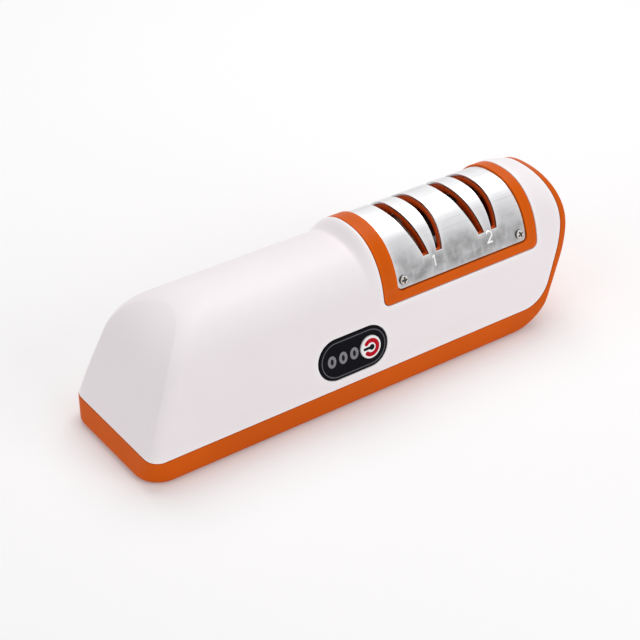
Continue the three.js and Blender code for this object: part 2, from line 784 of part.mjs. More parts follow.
// Saddle frame: flush with the head, with a sunk ledge for the plate and guide ribs under it
function buildSaddle() {
  const fromX = saddleX + seamGap;
  const length = saddleLength - 2 * seamGap;
  const bottomZ = saddleZ + seamGap;
  const rimOutline = windowOutline(fromX, length, bottomZ, saddleCornerRadius, 0);
  const rim = skinLayer(0, ledgeInner, fromX, fromX + length)
    .intersect(solid(alongY(rimOutline, -farY, farY)));
  const flangeLength = length + saddleFlange;
  const flangeOutline = windowOutline(fromX, flangeLength, bottomZ - saddleFlange, saddleCornerRadius, 0);
  const flange = skinLayer(shellWall + fitGap, ledgeInner, fromX, fromX + flangeLength)
    .intersect(solid(alongY(flangeOutline, -farY, farY)));
  const under = solid(alongX(polygon(sectionAt(headTopZ, ledgeInner - fitGap)), fromX, fromX + length));
  const ribs = pairXs.map((x) => {
    const low = slotFloorZ - guideRibDepth;
    const foot = slotFloorSpread * guideRibWebShare;
    const head = slotFloorSpread + (headTopZ - slotFloorZ) * Math.tan(slotTilt);
    const outline = [[x - foot, low], [x + foot, low], [x + head, headTopZ], [x - head, headTopZ]];
    const wedge = solid(alongY(polygon(outline), -guideRibReach, guideRibReach));
    const reach = wheelRadius + wheelClearance;
    const drum = turnedAlongX([[0, -reach], [reach, -reach], [reach, reach], [0, reach]]);
    const wheelRoom = solid(drum.translate(x, 0, axisZ));
    const half = ribWindow / 2;
    const slit = solid(block(x - reach, x + reach, -half, half, 0, headTopZ - ledgeInner));
    return wedge.intersect(under).subtract(wheelRoom).subtract(slit);
  });
  const bossTop = -plateThickness - fitGap - saddleLedge / 2;
  const bossBottom = bossTop - saddleLedge / 2 - coverScrewBossDepth;
  const bosses = coverScrewFrames.map((frame) => solid(
    rod(coverScrewBossRadius, bossBottom, bossTop).applyMatrix4(frame.matrixWorld)));
  const holes = coverScrewFrames.map((frame) => solid(
    rod(coverScrewShankRadius + fitGap, bossBottom - fitGap, cutOverrun).applyMatrix4(frame.matrixWorld)));
  const seatOutline = windowOutline(plateX, plateLength, plateZ, plateCornerRadius, fitGap);
  const seat = skinLayer(-cutOverrun / 2, ledgeOuter, plateX - fitGap, plateX + plateLength + fitGap)
    .intersect(solid(alongY(seatOutline, -farY, farY)));
  return geometryOf(without(union([rim, flange, ...ribs, ...bosses]), [seat, ...slotCuts(0), ...holes]));
}

// Steel cover plate, bent over the head
function buildPlate() {
  const outline = windowOutline(plateX, plateLength, plateZ, plateCornerRadius, 0);
  const sheet = skinLayer(plateRecess, plateInner, plateX, plateX + plateLength)
    .intersect(solid(alongY(outline, -farY, farY)));
  const holes = coverScrewFrames.map((frame) => solid(rod(coverScrewShankRadius + fitGap, -plateInner * 2,
    plateInner * 2).applyMatrix4(frame.matrixWorld)));
  return geometryOf(without(sheet, [...slotCuts(0), ...holes]));
}

addPiece('base_housing', buildBase(), 'orange');
addPiece('upper_housing', buildUpper(), 'shell');
addPiece('saddle_frame', buildSaddle(), 'orange');
addPiece('slot_cover_plate', buildPlate(), 'steel');

coverScrewFrames.forEach((frame, i) => {
  sharpener.add(frame);
  const geometry = screw(coverScrewHeadRadius, coverScrewHeadHeight, coverScrewShankRadius,
    coverScrewShankLength);
  addPiece(`cover_screw_${i + 1}`, geometry.translate(0, 0, fitGap / 2), 'chrome', frame);
});

// Control panel: a black stadium in the front wall, held from behind by its flange
const wallBack = -(shellWall + fitGap);
const panelBack = wallBack - panelFlangeThickness;
const boardFront = -boardDepth;
const firstLensPlace = -lensMiddleOffset - ((lensCount - 1) / 2) * lensPitch;
const lensPlaces = Array.from({ length: lensCount }, (_, i) => firstLensPlace + i * lensPitch);

function oval(width, height) {
  const ring = arc(0, 0, 1 / 2, 0, 2 * Math.PI, smallSides).slice(1);
  return polygon(ring.map(([a, b]) => [a * width, b * height]));
}

function buildPanel() {
  const round = panelWidth / 2;
  const front = roundedRectangle(panelLength, panelWidth, round);
  const backWidth = panelWidth + 2 * panelFlange;
  const back = roundedRectangle(panelLength + 2 * panelFlange, backWidth, backWidth / 2);
  const plate = solid(alongZ(front, panelBack, panelProud)).add(solid(alongZ(back, panelBack, wallBack)));
  const posts = [];
  for (const a of [-1, 1]) {
    for (const b of [-1, 1]) {
      const x = a * (boardLength / 2 - panelPostInset);
      const y = b * (boardWidth / 2 - panelPostInset);
      const post = rod(panelPostRadius, boardFront + fitGap, wallBack - panelFlangeThickness / 2);
      posts.push(solid(post.translate(x, y, 0)));
    }
  }
  const buttonBore = rod(buttonRadius + fitGap, boardFront, cutOverrun, roundSides);
  const buttonHole = solid(buttonBore.translate(buttonOffset, 0, 0));
  const lensOutline = oval(lensWidth + 2 * fitGap, lensHeight + 2 * fitGap);
  const lensHoles = lensPlaces.map((x) => solid(
    alongZ(lensOutline, boardFront, cutOverrun).translate(x, 0, 0)));
  return geometryOf(without(union([plate, ...posts]), [buttonHole, ...lensHoles]));
}

// Power button and the switch plunger that it pushes
const switchTop = boardFront + fitGap + switchHeight;
const plungerTop = switchTop + plungerProud;
const plungerBottom = plungerTop - plungerHeight;

function buildButton() {
  const face = panelProud + buttonProud;
  const flangeTop = panelBack - fitGap;
  const flangeBack = flangeTop - buttonFlangeThickness;
  const stemEnd = plungerTop + fitGap;
  const flangeRadius = buttonRadius + buttonFlange;
  return turnedAlongZ([[0, stemEnd], [buttonStemRadius, stemEnd], [buttonStemRadius, flangeBack],
    [flangeRadius, flangeBack], [flangeRadius, flangeTop], [buttonRadius, flangeTop],
    [buttonRadius, face - buttonEdgeRadius], [buttonRadius - buttonEdgeRadius, face], [0, face]]);
}

function buildSwitch() {
  const half = switchSize / 2;
  const body = solid(block(-half, half, -half, half, boardFront + fitGap, switchTop));
  const bore = solid(rod(plungerRadius + fitGap, plungerBottom - buttonTravel - fitGap, cutOverrun));
  return geometryOf(body.subtract(bore));
}

addPiece('control_panel', buildPanel(), 'panel', panelFrame);
const buttonPlace = new THREE.Group();
buttonPlace.position.x = buttonOffset;
panelFrame.add(buttonPlace);
addPiece('power_button', buildButton(), 'button', buttonPlace);
addPiece('switch_plunger', rod(plungerRadius, plungerBottom, plungerTop), 'black', buttonPlace);
addPiece('tact_switch', buildSwitch(), 'black', buttonPlace);
lensPlaces.forEach((x, i) => {
  const face = panelProud + lensProud;
  const lens = alongZ(oval(lensWidth, lensHeight), face - lensDepth, face);
  addPiece(`indicator_lens_${i + 1}`, lens, 'lens', panelFrame).position.x = x;
});
const boardOutline = roundedRectangle(boardLength, boardWidth, boardCornerRadius);
addPiece('control_board', alongZ(boardOutline, boardFront - boardThickness, boardFront), 'board', panelFrame);

// Rubber feet and the screws that hold the base to the upper housing
footPlaces.forEach(([x, y], i) => {
  const foot = addPiece(`rubber_foot_${i + 1}`, rod(footRadius, 0, footHeight, roundSides), 'rubber');
  foot.position.set(x, y, 0);
});
baseScrewPlaces.forEach(([x, y], i) => {
  const geometry = screw(baseScrewHeadRadius, baseScrewHeadHeight, baseScrewShankRadius,
    baseScrewShankLength);
  const piece = addPiece(`base_screw_${i + 1}`, geometry, 'zinc');
  piece.position.set(x, y, baseBottom + baseScrewHeadHeight);
  piece.rotation.x = Math.PI;
});

// Battery: two cells side by side in a tray, joined at one end and led off at the other
const cellY = cellRadius + cellSplit / 2;
const cellX = leftX + cellStart;
const cellEndX = cellX + cellLength + cellTipLength;
const trayBottom = innerFloorZ + fitGap;
const cellZ = trayBottom + trayLift + fitGap + cellRadius;
const contactStart = cellX - fitGap - contactThickness;
const contactEnd = cellEndX + fitGap + contactThickness;

function buildTray() {
  const top = cellZ - trayDrop;
  const half = trayWidth / 2;
  const fromX = contactStart - fitGap;
  const toX = contactEnd + fitGap;
  const bed = solid(block(fromX - trayEndWall, toX + trayEndWall, -half, half, trayBottom, top));
  const troughs = [-1, 1].map((side) => solid(alongX(disc(cellRadius + fitGap), fromX, toX)
    .translate(0, side * cellY, cellZ)));
  const wallTop = cellZ + contactHeight / 2;
  const walls = [[fromX - trayEndWall, fromX], [toX, toX + trayEndWall]]
    .map(([x0, x1]) => solid(block(x0, x1, -half, half, trayBottom, wallTop)));
  const seats = [[contactStart - fitGap, cellX], [cellEndX, contactEnd + fitGap]]
    .map(([x0, x1]) => solid(block(x0, x1, -half, half, trayBottom + trayLift, wallTop)));
  return geometryOf(union([without(bed, [...troughs, ...seats]), ...walls]));
}

function contactPlate(x, y0, y1) {
  return block(x, x + contactThickness, y0, y1, cellZ - contactHeight / 2, cellZ + contactHeight / 2);
}

addPiece('battery_tray', buildTray(), 'black');
const cellProfile = [[0, 0], [cellRadius, 0], [cellRadius, cellLength], [cellTipRadius, cellLength],
  [cellTipRadius, cellLength + cellTipLength], [0, cellLength + cellTipLength]];
[-1, 1].forEach((side, i) => {
  const cell = addPiece(`battery_cell_${i + 1}`, turnedAlongX(cellProfile), 'cell');
  cell.position.set(cellX, side * cellY, cellZ);
});
const contactHalf = contactWidth / 2;
addPiece('battery_contact_1', contactPlate(contactStart, -cellY - contactHalf, cellY + contactHalf), 'zinc');
[-1, 1].forEach((side, i) => {
  const y = side * cellY;
  const plate = contactPlate(cellEndX + fitGap, y - contactHalf, y + contactHalf);
  addPiece(`battery_contact_${i + 2}`, plate, 'zinc');
});

// Motor: can, end cap and rotor on the spindle's axis
const motorX = leftX + motorStart;
const canX = motorX + motorCapLength;
const motorEndX = motorX + motorLength;
const spindleX = leftX + spindleStart;
const motorShaftEndX = spindleX - couplingGap;

function addOnAxis(name, profile, finish, sides = roundSides) {
  addPiece(name, turnedAlongX(profile, sides), finish).position.z = axisZ;
}

const motorBore = motorShaftRadius + runningClearance;
const canFrontX = motorEndX - motorWall;
const motorRoomX = motorEndX + motorNoseLength;
const canInnerRadius = motorRadius - motorWall;
addOnAxis('motor_can', [[canInnerRadius, canX], [motorRadius, canX], [motorRadius, motorEndX],
  [motorNoseRadius, motorEndX], [motorNoseRadius, motorRoomX], [motorBore, motorRoomX],
  [motorBore, canFrontX], [canInnerRadius, canFrontX], [canInnerRadius, canX]], 'zinc');
addOnAxis('motor_end_cap', [[motorBore, motorX], [motorRadius, motorX], [motorRadius, canX - fitGap],
  [motorBore, canX - fitGap], [motorBore, motorX]], 'black');
const coreX = canX + (canFrontX - canX - motorCoreLength) / 2;
addOnAxis('motor_rotor', [[0, motorX], [motorShaftRadius, motorX], [motorShaftRadius, canX + fitGap],
  [commutatorRadius, canX + fitGap], [commutatorRadius, coreX], [motorCoreRadius, coreX],
  [motorCoreRadius, coreX + motorCoreLength], [motorShaftRadius, coreX + motorCoreLength],
  [motorShaftRadius, motorShaftEndX], [0, motorShaftEndX]], 'copper');

// Cradle under the motor and the straps that hold it down
const cradleTop = axisZ - cradleDrop;
const cradleXs = [canX + cradleInset, motorEndX - cradleInset - cradleThickness];
const strapWidth = cradleThickness;
const strapScrewY = (cradleEarSpan / 2 + motorRadius + fitGap + strapThickness) / 2;

function buildCradle() {
  const bottom = innerFloorZ + fitGap;
  const waist = cradleWaist / 2;
  const ear = cradleEarSpan / 2;
  const shoulder = cradleTop - cradleEarThickness;
  const outline = polygon([[-waist, bottom], [waist, bottom], [waist, shoulder], [ear, shoulder],
    [ear, cradleTop], [-ear, cradleTop], [-ear, shoulder], [-waist, shoulder]]);
  const seat = solid(alongX(disc(motorRadius + fitGap), motorX, motorEndX).translate(0, 0, axisZ));
  const uprights = cradleXs.map((x) => solid(alongX(outline, x, x + cradleThickness)));
  const endX = cradleXs[1] + cradleThickness;
  const plate = solid(block(cradleXs[0], endX, -waist, waist, bottom, bottom + cradlePlate));
  const holes = cradleXs.flatMap((x) => [-1, 1].map((side) => solid(
    rod(strapScrewShankRadius + fitGap, cradleTop - strapScrewShankLength, farZ)
      .translate(x + cradleThickness / 2, side * strapScrewY, 0))));
  return geometryOf(without(union([...uprights, plate]), [seat, ...holes]));
}

function buildStrap() {
  const inner = motorRadius + fitGap;
  const outer = inner + strapThickness;
  const foot = cradleTop + fitGap - axisZ;
  const top = foot + strapThickness;
  const ear = cradleEarSpan / 2;
  const over = arc(0, 0, outer, 0, Math.PI, roundSides / 2);
  const under = arc(0, 0, inner, Math.PI, 0, roundSides / 2);
  const outline = polygon([[inner, foot], [ear, foot], [ear, top], [outer, top],
    ...over, [-outer, top], [-ear, top], [-ear, foot], [-inner, foot], ...under]);
  const body = solid(alongX(outline, 0, strapWidth));
  const holes = [-1, 1].map((side) => solid(rod(strapScrewShankRadius + fitGap, -motorRadius, motorRadius)
    .translate(strapWidth / 2, side * strapScrewY, 0)));
  return geometryOf(without(body, holes));
}

addPiece('motor_cradle', buildCradle(), 'black');
cradleXs.forEach((x, i) => {
  addPiece(`motor_strap_${i + 1}`, buildStrap(), 'zinc').position.set(x, 0, axisZ);
  [-1, 1].forEach((side, j) => {
    const geometry = screw(strapScrewRadius, strapScrewHeadHeight, strapScrewShankRadius,
      strapScrewShankLength);
    const piece = addPiece(`strap_screw_${2 * i + j + 1}`, geometry, 'zinc');
    piece.position.set(x + strapWidth / 2, side * strapScrewY, cradleTop + fitGap + strapThickness + fitGap);
  });
});

// Spindle, coupling, bearings and their supports
const spindleEndX = spindleX + spindleLength;

function spindleProfile() {
  const profile = [[0, spindleX], [spindleRadius, spindleX]];
  for (const x of pairXs) {
    for (const side of [-1, 1]) {
      const face = x + side * (wheelFace + fitGap);
      const back = face + side * collarThickness;
      const [near, far] = side < 0 ? [back, face] : [face, back];
      profile.push([spindleRadius, near], [collarRadius, near], [collarRadius, far], [spindleRadius, far]);
    }
  }
  profile.push([spindleRadius, spindleEndX], [0, spindleEndX]);
  return profile;
}

addOnAxis('grinding_spindle', spindleProfile(), 'zinc');
const couplingMotorBore = motorShaftRadius + couplingClearance;
const couplingSpindleBore = spindleRadius + couplingClearance;
const couplingStartX = motorShaftEndX - couplingOverlap;
const couplingEndX = spindleX + couplingOverlap;
const couplingStepX = (motorShaftEndX + spindleX) / 2;
addOnAxis('shaft_coupling', [[couplingMotorBore, couplingStartX], [couplingRadius, couplingStartX],
  [couplingRadius, couplingEndX], [couplingSpindleBore, couplingEndX], [couplingSpindleBore, couplingStepX],
  [couplingMotorBore, couplingStepX], [couplingMotorBore, couplingStartX]], 'black');

const supportXs = [leftX + leftSupportPlace, leftX + rightSupportPlace];
supportXs.forEach((x, i) => {
  const [near, far] = [x - bearingLength / 2, x + bearingLength / 2];
  const bore = spindleRadius + runningClearance;
  addOnAxis(`spindle_bearing_${i + 1}`, [[bore, near], [bearingRadius, near], [bearingRadius, far],
    [bore, far], [bore, near]], 'bronze');
  const foot = supportFootWidth / 2;
  const bottom = innerFloorZ + fitGap - axisZ;
  const head = arc(0, 0, supportHeadRadius, 0, Math.PI, roundSides / 2);
  const outline = polygon([[-foot, bottom], [foot, bottom], ...head]);
  const plate = solid(alongX(outline, x - supportThickness / 2, x + supportThickness / 2));
  const seat = solid(alongX(disc(bearingRadius + fitGap), x - supportThickness, x + supportThickness));
  addPiece(`bearing_support_${i + 1}`, geometryOf(plate.subtract(seat)), 'black').position.z = axisZ;
});

// Grinding wheels: a pair on each side of a spring, their outer faces bevelled towards the rim
const wheelInner = wheelFace - wheelThickness;
const wheelBore = spindleRadius + runningClearance;
pairXs.forEach((x, pair) => {
  [-1, 1].forEach((side, i) => {
    const profile = [[wheelBore, wheelInner], [wheelRadius, wheelInner],
      [wheelRadius, wheelFace - wheelRimBevel], [wheelRadius - wheelRimSlope, wheelFace],
      [wheelBore, wheelFace], [wheelBore, wheelInner]];
    const placed = profile.map(([radius, along]) => [radius, x + side * along]);
    if (side < 0) placed.reverse();
    const stage = pair === 0 ? 'fine' : 'coarse';
    addOnAxis(`${stage}_wheel_${i + 1}`, placed, `${stage}Stone`);
  });
  addPiece(`wheel_spring_${pair + 1}`, buildSpring(), 'chrome').position.set(x, 0, axisZ);
});

// Spring between the two wheels of a pair, wound about the spindle
function buildSpring() {
  const room = 2 * (wheelInner - fitGap - springWireRadius);
  const steps = springTurns * springTurnSteps;
  const coil = Array.from({ length: steps + 1 }, (_, i) => {
    const turn = (2 * Math.PI * i) / springTurnSteps;
    return [room * (i / steps - 1 / 2), springRadius * Math.cos(turn), springRadius * Math.sin(turn)];
  });
  return wire(coil, steps, springWireRadius, springSides);
}

// Charging socket in the end wall, on its own small board
function buildSocket() {
  const backX = socketMouthX - socketLength;
  const shell = solid(alongX(socketOutline(socketShell), backX, socketMouthX));
  const room = solid(alongX(socketOutline(0), backX + socketBack, socketMouthX + fitGap));
  const half = (socketWidth * socketTongueShare) / 2;
  const thick = socketTongueThickness / 2;
  const tongue = solid(block(backX, socketMouthX - socketTongueShyness, -half, half, -thick, thick));
  return geometryOf(shell.subtract(room).add(tongue));
}

addPiece('charging_socket', buildSocket(), 'zinc').position.z = socketZ;
addPiece('charging_board', block(chargeBoardX, chargeBoardX + chargeBoardLength, -chargeBoardWidth / 2,
  chargeBoardWidth / 2, chargeBoardZ, chargeBoardZ + boardThickness), 'board');

// Leads, each from just off one terminal to just off the back of the control board
function boardPoint(across, up, off) {
  const point = new THREE.Vector3(across, up, boardFront - boardThickness - off);
  return point.applyMatrix4(panelFrame.matrixWorld).toArray();
}

function lead(name, route, across, up, finish) {
  const end = [boardPoint(across, up, leadTurn), boardPoint(across, up, fitGap)];
  addPiece(name, wire([...route, ...end], leadSteps, leadRadius, leadSides), finish);
}

const terminalX = cellEndX + fitGap + contactThickness / 2;
const terminalZ = cellZ + contactHeight / 2;
const solderSide = boardLeadInset - boardLength / 2;
[-1, 1].forEach((side, i) => {
  const across = solderSide + i * leadTurn;
  const crossZ = terminalZ + leadRise + i * leadSpacing;
  const cellRoute = [[terminalX, side * cellY, terminalZ + fitGap], [terminalX, side * cellY, crossZ],
    [terminalX, -cellY - leadTurn, crossZ]];
  const motorZ = axisZ - motorTerminalDrop;
  const motorY = -motorTerminalSide - (1 - i) * leadSpacing;
  const motorRoute = [[motorX - fitGap, motorY, motorZ], [motorX - leadTurn, motorY, motorZ],
    [motorX - leadTurn, motorY - leadTurn, motorZ - leadRise]];
  const pole = side < 0 ? 'plus' : 'minus';
  const finish = side < 0 ? 'redLead' : 'black';
  lead(`battery_lead_${pole}`, cellRoute, across, (i - 1 / 2) * leadSpacing, finish);
  lead(`motor_lead_${pole}`, motorRoute, across, 2 * leadSpacing, finish);
});

// Charging cable along the floor, in front of the bearing supports and the cradle
const cableX = chargeBoardX + boardLeadInset;
const cableY = -(chargeBoardWidth / 2 - chargePostInset);
const cableZ = innerFloorZ + cableRadius + 2 * fitGap;
const cableEndX = leftX + panelPlace + boardLength / 2 + boardLeadInset;
const cableRoute = [
  [cableX, cableY, chargeBoardZ - fitGap],
  [cableX, cableY, chargeBoardZ - leadTurn],
  [cableX - leadTurn, -cableSide, cableZ + 2 * leadTurn],
  [cableX - 2 * leadTurn, -cableSide, cableZ + leadTurn / 2],
  [cableX - 4 * leadTurn, -cableSide, cableZ],
  [(cableX + cableEndX) / 2, -cableSide, cableZ],
  [cableEndX + 2 * leadTurn, -cableSide, cableZ],
  [cableEndX, -cableSide, cableZ + leadTurn],
  boardPoint(-solderSide, -boardWidth / 2 - leadTurn, -boardThickness / 2),
  boardPoint(-solderSide, -boardWidth / 2 - fitGap, -boardThickness / 2),
];
addPiece('charging_cable', wire(cableRoute, cableSteps, cableRadius, leadSides), 'black');

export default sharpener;
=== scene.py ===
"""Dressed model of an electric knife sharpener on a pale studio floor.

Every size is in millimetres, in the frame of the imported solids, and becomes metres only when a
mesh is made. +X runs along the housing towards the grinding head, -Y faces the control panel.
"""
import logging
import math
from dataclasses import dataclass, replace
from enum import Enum
from functools import cached_property, lru_cache
from typing import Callable, Sequence

import bpy
import numpy as np
from mathutils import Matrix, Vector


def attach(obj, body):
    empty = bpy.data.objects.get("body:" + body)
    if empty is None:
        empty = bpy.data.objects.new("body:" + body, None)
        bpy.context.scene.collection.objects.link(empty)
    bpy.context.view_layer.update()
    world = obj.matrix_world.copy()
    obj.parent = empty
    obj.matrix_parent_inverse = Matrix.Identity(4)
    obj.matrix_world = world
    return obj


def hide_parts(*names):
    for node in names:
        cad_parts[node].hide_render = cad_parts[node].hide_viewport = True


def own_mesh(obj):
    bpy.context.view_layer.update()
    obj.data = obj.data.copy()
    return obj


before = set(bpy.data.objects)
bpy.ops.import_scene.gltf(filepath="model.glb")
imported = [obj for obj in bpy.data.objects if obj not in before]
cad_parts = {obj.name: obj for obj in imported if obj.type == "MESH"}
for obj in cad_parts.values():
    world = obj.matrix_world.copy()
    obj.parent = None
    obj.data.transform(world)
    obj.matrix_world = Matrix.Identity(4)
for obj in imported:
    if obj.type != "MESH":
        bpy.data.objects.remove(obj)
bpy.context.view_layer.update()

MM = 0.001
WELD = 2e-4
WELD_SHIFT = 0.21
SHARP_ANGLE = math.radians(38)
TURN_POINTS = 48
# Reach of the mask that paints a highlight on rims near openings.
RIM_LIGHT_REACH = 1.2
RIM_FADE = 0.3
FAR_FROM_OPENINGS = -50.0
BEFORE_CROWN = 0.5 - 1e-9
WHITE = (1.0, 1.0, 1.0)

Array = np.ndarray
Pair = tuple[float, float]
Spot = tuple[float, float, float]
Colour = tuple[float, float, float]

log = logging.getLogger("sharpener")


class Body(Enum):
    """The moving bodies that pieces ride on."""

    HOUSING = "housing"
    BUTTON = "power_button"
    SPINDLE = "spindle"


class Slot(Enum):
    """Names of the record's material slots, which no piece in this script uses."""

    WHITE = "white_shell"
    ORANGE = "orange_shell"
    COVER = "cover_steel"
    CHROME = "screw_chrome"
    PLATED = "plated_steel"
    PANEL = "panel_black"
    BUTTON = "button_white"
    LENS = "lens_grey"
    FOOT = "foot_rubber"


class Side(Enum):
    """The two long sides of the housing, as the sign of Y."""

    FRONT = -1
    BACK = 1


class Hand(Enum):
    """The two slots of a pair, as the sign of X."""

    LEFT = -1
    RIGHT = 1


# Surfaces

def unit(vectors: Array) -> Array:
    """Vectors divided by their lengths, with a zero vector left as it is."""
    length = np.linalg.norm(vectors, axis=-1, keepdims=True)
    return vectors / np.where(length > 1e-12, length, 1.0)


def smoothstep(low: float, high: float, values: Array) -> Array:
    """Soft step 3t^2 - 2t^3 with t the place of a value between low and high."""
    t = np.clip((values - low) / (high - low), 0.0, 1.0)
    return t * t * (3.0 - 2.0 * t)


def shares(steps: int) -> Array:
    """Even shares from 0 to 1 in a number of steps."""
    return np.linspace(0.0, 1.0, steps + 1)


def points_of(*parts: Array | float) -> Array:
    """Points from their coordinates, which are first spread to one shape."""
    return np.stack(np.broadcast_arrays(*parts), axis=-1)


def full_turn(count: int) -> Array:
    """Angles evenly round a full turn, without its end."""
    return np.linspace(0.0, 2.0 * math.pi, count, endpoint=False)


def polar(radius: Array | float, angle: Array) -> tuple[Array, Array]:
    """The two coordinates of a place at a radius and an angle: r cos a and r sin a."""
    return radius * np.cos(angle), radius * np.sin(angle)


def run_along(path: Array) -> Array:
    """Length of a path from its start up to each of its points."""
    return np.concatenate([[0.0], np.cumsum(np.linalg.norm(np.diff(path, axis=0), axis=1))])


def sampled(path: Array, places: Array) -> Array:
    """Points of a path at lengths along it."""
    run = run_along(path)
    return np.stack([np.interp(places, run, path[:, k]) for k in range(path.shape[1])], axis=1)


def grid_faces(rows: int, columns: int, loop_rows: bool = False,
               loop_columns: bool = False) -> Array:
    """Corner numbers of the cells of a grid of points.

    Args:
        rows: Number of rows of points.
        columns: Number of columns of points.
        loop_rows: Whether the last row joins the first.
        loop_columns: Whether the last column joins the first.

    Returns:
        One row of four corner numbers for each cell.
    """
    i = np.arange(rows if loop_rows else rows - 1)[:, None]
    j = np.arange(columns if loop_columns else columns - 1)[None, :]
    row, after_row = i * columns, (i + 1) % rows * columns
    after_j = (j + 1) % columns
    corners = [row + j, after_row + j, after_row + after_j, row + after_j]
    return np.stack(corners, axis=-1).reshape(-1, 4)


@dataclass
class Solid:
    """A surface as points and faces of four corners, of which a triangle repeats its last.

    A skin also has its normals, and edge says how near each point is to an opening; it masks a painted
    highlight on rims, and on a screw it marks painted shade.
    """

    points: Array
    faces: Array
    normals: Array | None = None
    edge: Array | None = None

    def moved(self, place: Callable[[Array], Array]) -> "Solid":
        """The same faces with each point carried through a function."""
        return replace(self, points=place(self.points), normals=None)

    def welded(self) -> "Solid":
        """Merges coinciding points.

        Returns:
            The surface, its merged points' normals summed and its flattened faces left out.
        """
        keys = np.round(self.points / WELD + WELD_SHIFT).astype(np.int64)
        _, first, number = np.unique(keys, axis=0, return_index=True, return_inverse=True)
        number = number.reshape(-1)
        normals = None
        if self.normals is not None:
            normals = np.zeros((len(first), 3))
            np.add.at(normals, number, self.normals)
            normals = unit(normals)
        edge = None if self.edge is None else self.edge[first]
        faces = number[self.faces]
        changes = (np.diff(np.sort(faces, axis=1), axis=1) > 0).sum(axis=1)
        return Solid(self.points[first], faces[changes > 1], normals, edge)

    def outward(self) -> "Solid":
        """The closed surface with its faces turned outwards, by the sign of its volume."""
        a, b, c, d = (self.points[self.faces[:, k]] for k in range(4))
        volume = np.einsum("ij,ij->", a, np.cross(b, c)) + np.einsum("ij,ij->", a, np.cross(c, d))
        return self if volume > 0 else replace(self, faces=self.faces[:, ::-1])

    @staticmethod
    def joined(solids: Sequence["Solid"]) -> "Solid":
        """Puts several surfaces together.

        Args:
            solids: The surfaces.

        Returns:
            One surface, with normals and edge where all of them have these.
        """
        offsets = np.cumsum([0] + [len(s.points) for s in solids[:-1]])
        points = np.concatenate([s.points for s in solids])
        faces = np.concatenate([s.faces + offset for s, offset in zip(solids, offsets)])
        extras = [[s.normals for s in solids], [s.edge for s in solids]]
        whole = [None if any(e is None for e in extra) else np.concatenate(extra) for extra in extras]
        return Solid(points, faces, *whole)

    def mesh(self, name: str) -> bpy.types.Mesh:
        """The surface as a smooth-shaded mesh in metres.

        Args:
            name: Name of the mesh.

        Returns:
            The new mesh, with the skin's own normals or with sharp edges by angle.
        """
        corner = self.faces
        keep = corner != np.roll(corner, -1, axis=1)
        count = keep.sum(axis=1)
        alive = count > 2
        corner, keep, count = corner[alive], keep[alive], count[alive]
        loops = corner[keep]
        mesh = bpy.data.meshes.new(name)
        mesh.vertices.add(len(self.points))
        mesh.vertices.foreach_set("co", (self.points * MM).astype(np.float32).ravel())
        mesh.loops.add(len(loops))
        mesh.loops.foreach_set("vertex_index", loops.astype(np.int32))
        mesh.polygons.add(len(count))
        mesh.polygons.foreach_set("loop_start", (np.cumsum(count) - count).astype(np.int32))
        mesh.update(calc_edges=True)
        mesh.validate(clean_customdata=False)
        mesh.polygons.foreach_set("use_smooth", np.ones(len(mesh.polygons), bool))
        if self.edge is not None:
            # The edge layer masks painted highlight on rims and painted shade in screw recesses.
            painted_light_layer = mesh.attributes.new("edge", "FLOAT", "POINT")
            painted_light_layer.data.foreach_set("value", self.edge.astype(np.float32))
        if self.normals is not None:
            mesh.normals_split_custom_set_from_vertices(self.normals.tolist())
        else:
            mesh.set_sharp_from_angle(angle=SHARP_ANGLE)
        return mesh


def closed_grid(points: Array, loop_rows: bool = False, loop_columns: bool = False) -> Solid:
    """A grid of points whose poles and seams close on themselves, faces outwards."""
    rows, columns = points.shape[:2]
    faces = grid_faces(rows, columns, loop_rows, loop_columns)
    return Solid(points.reshape(-1, 3), faces).welded().outward()


def turned(profile: Array, sides: int) -> Solid:
    """A profile of (radius, height) pairs turned about Z: (r cos a, r sin a, h)."""
    angle = full_turn(sides)
    points = points_of(*polar(profile[:, :1], angle), profile[:, 1:])
    return closed_grid(points, loop_columns=True)


def softened(corners: Sequence[Pair], radius: float, steps: int = 4) -> Array:
    """An outline with its inner corners rounded.

    Each corner is replaced by a curve (1-t)^2 A + 2t(1-t) K + t^2 B between points A and B that lie
    a radius away from the corner K on its two sides, or half a side where that is shorter.

    Args:
        corners: Points of the outline, whose first and last stay sharp.
        radius: Distance from each corner at which its curve begins.
        steps: Number of pieces in each curve.

    Returns:
        The rounded outline as an array of points.
    """
    outline = np.array(corners, float)
    before, knee, after = outline[:-2], outline[1:-1], outline[2:]
    back = np.minimum(radius, np.linalg.norm(before - knee, axis=1, keepdims=True) / 2)
    on = np.minimum(radius, np.linalg.norm(after - knee, axis=1, keepdims=True) / 2)
    start = knee + unit(before - knee) * back
    end = knee + unit(after - knee) * on
    t = shares(steps)[None, :, None]
    curves = (1 - t) ** 2 * start[:, None] + 2 * t * (1 - t) * knee[:, None] + t ** 2 * end[:, None]
    return np.concatenate([outline[:1], curves.reshape(-1, 2), outline[-1:]])


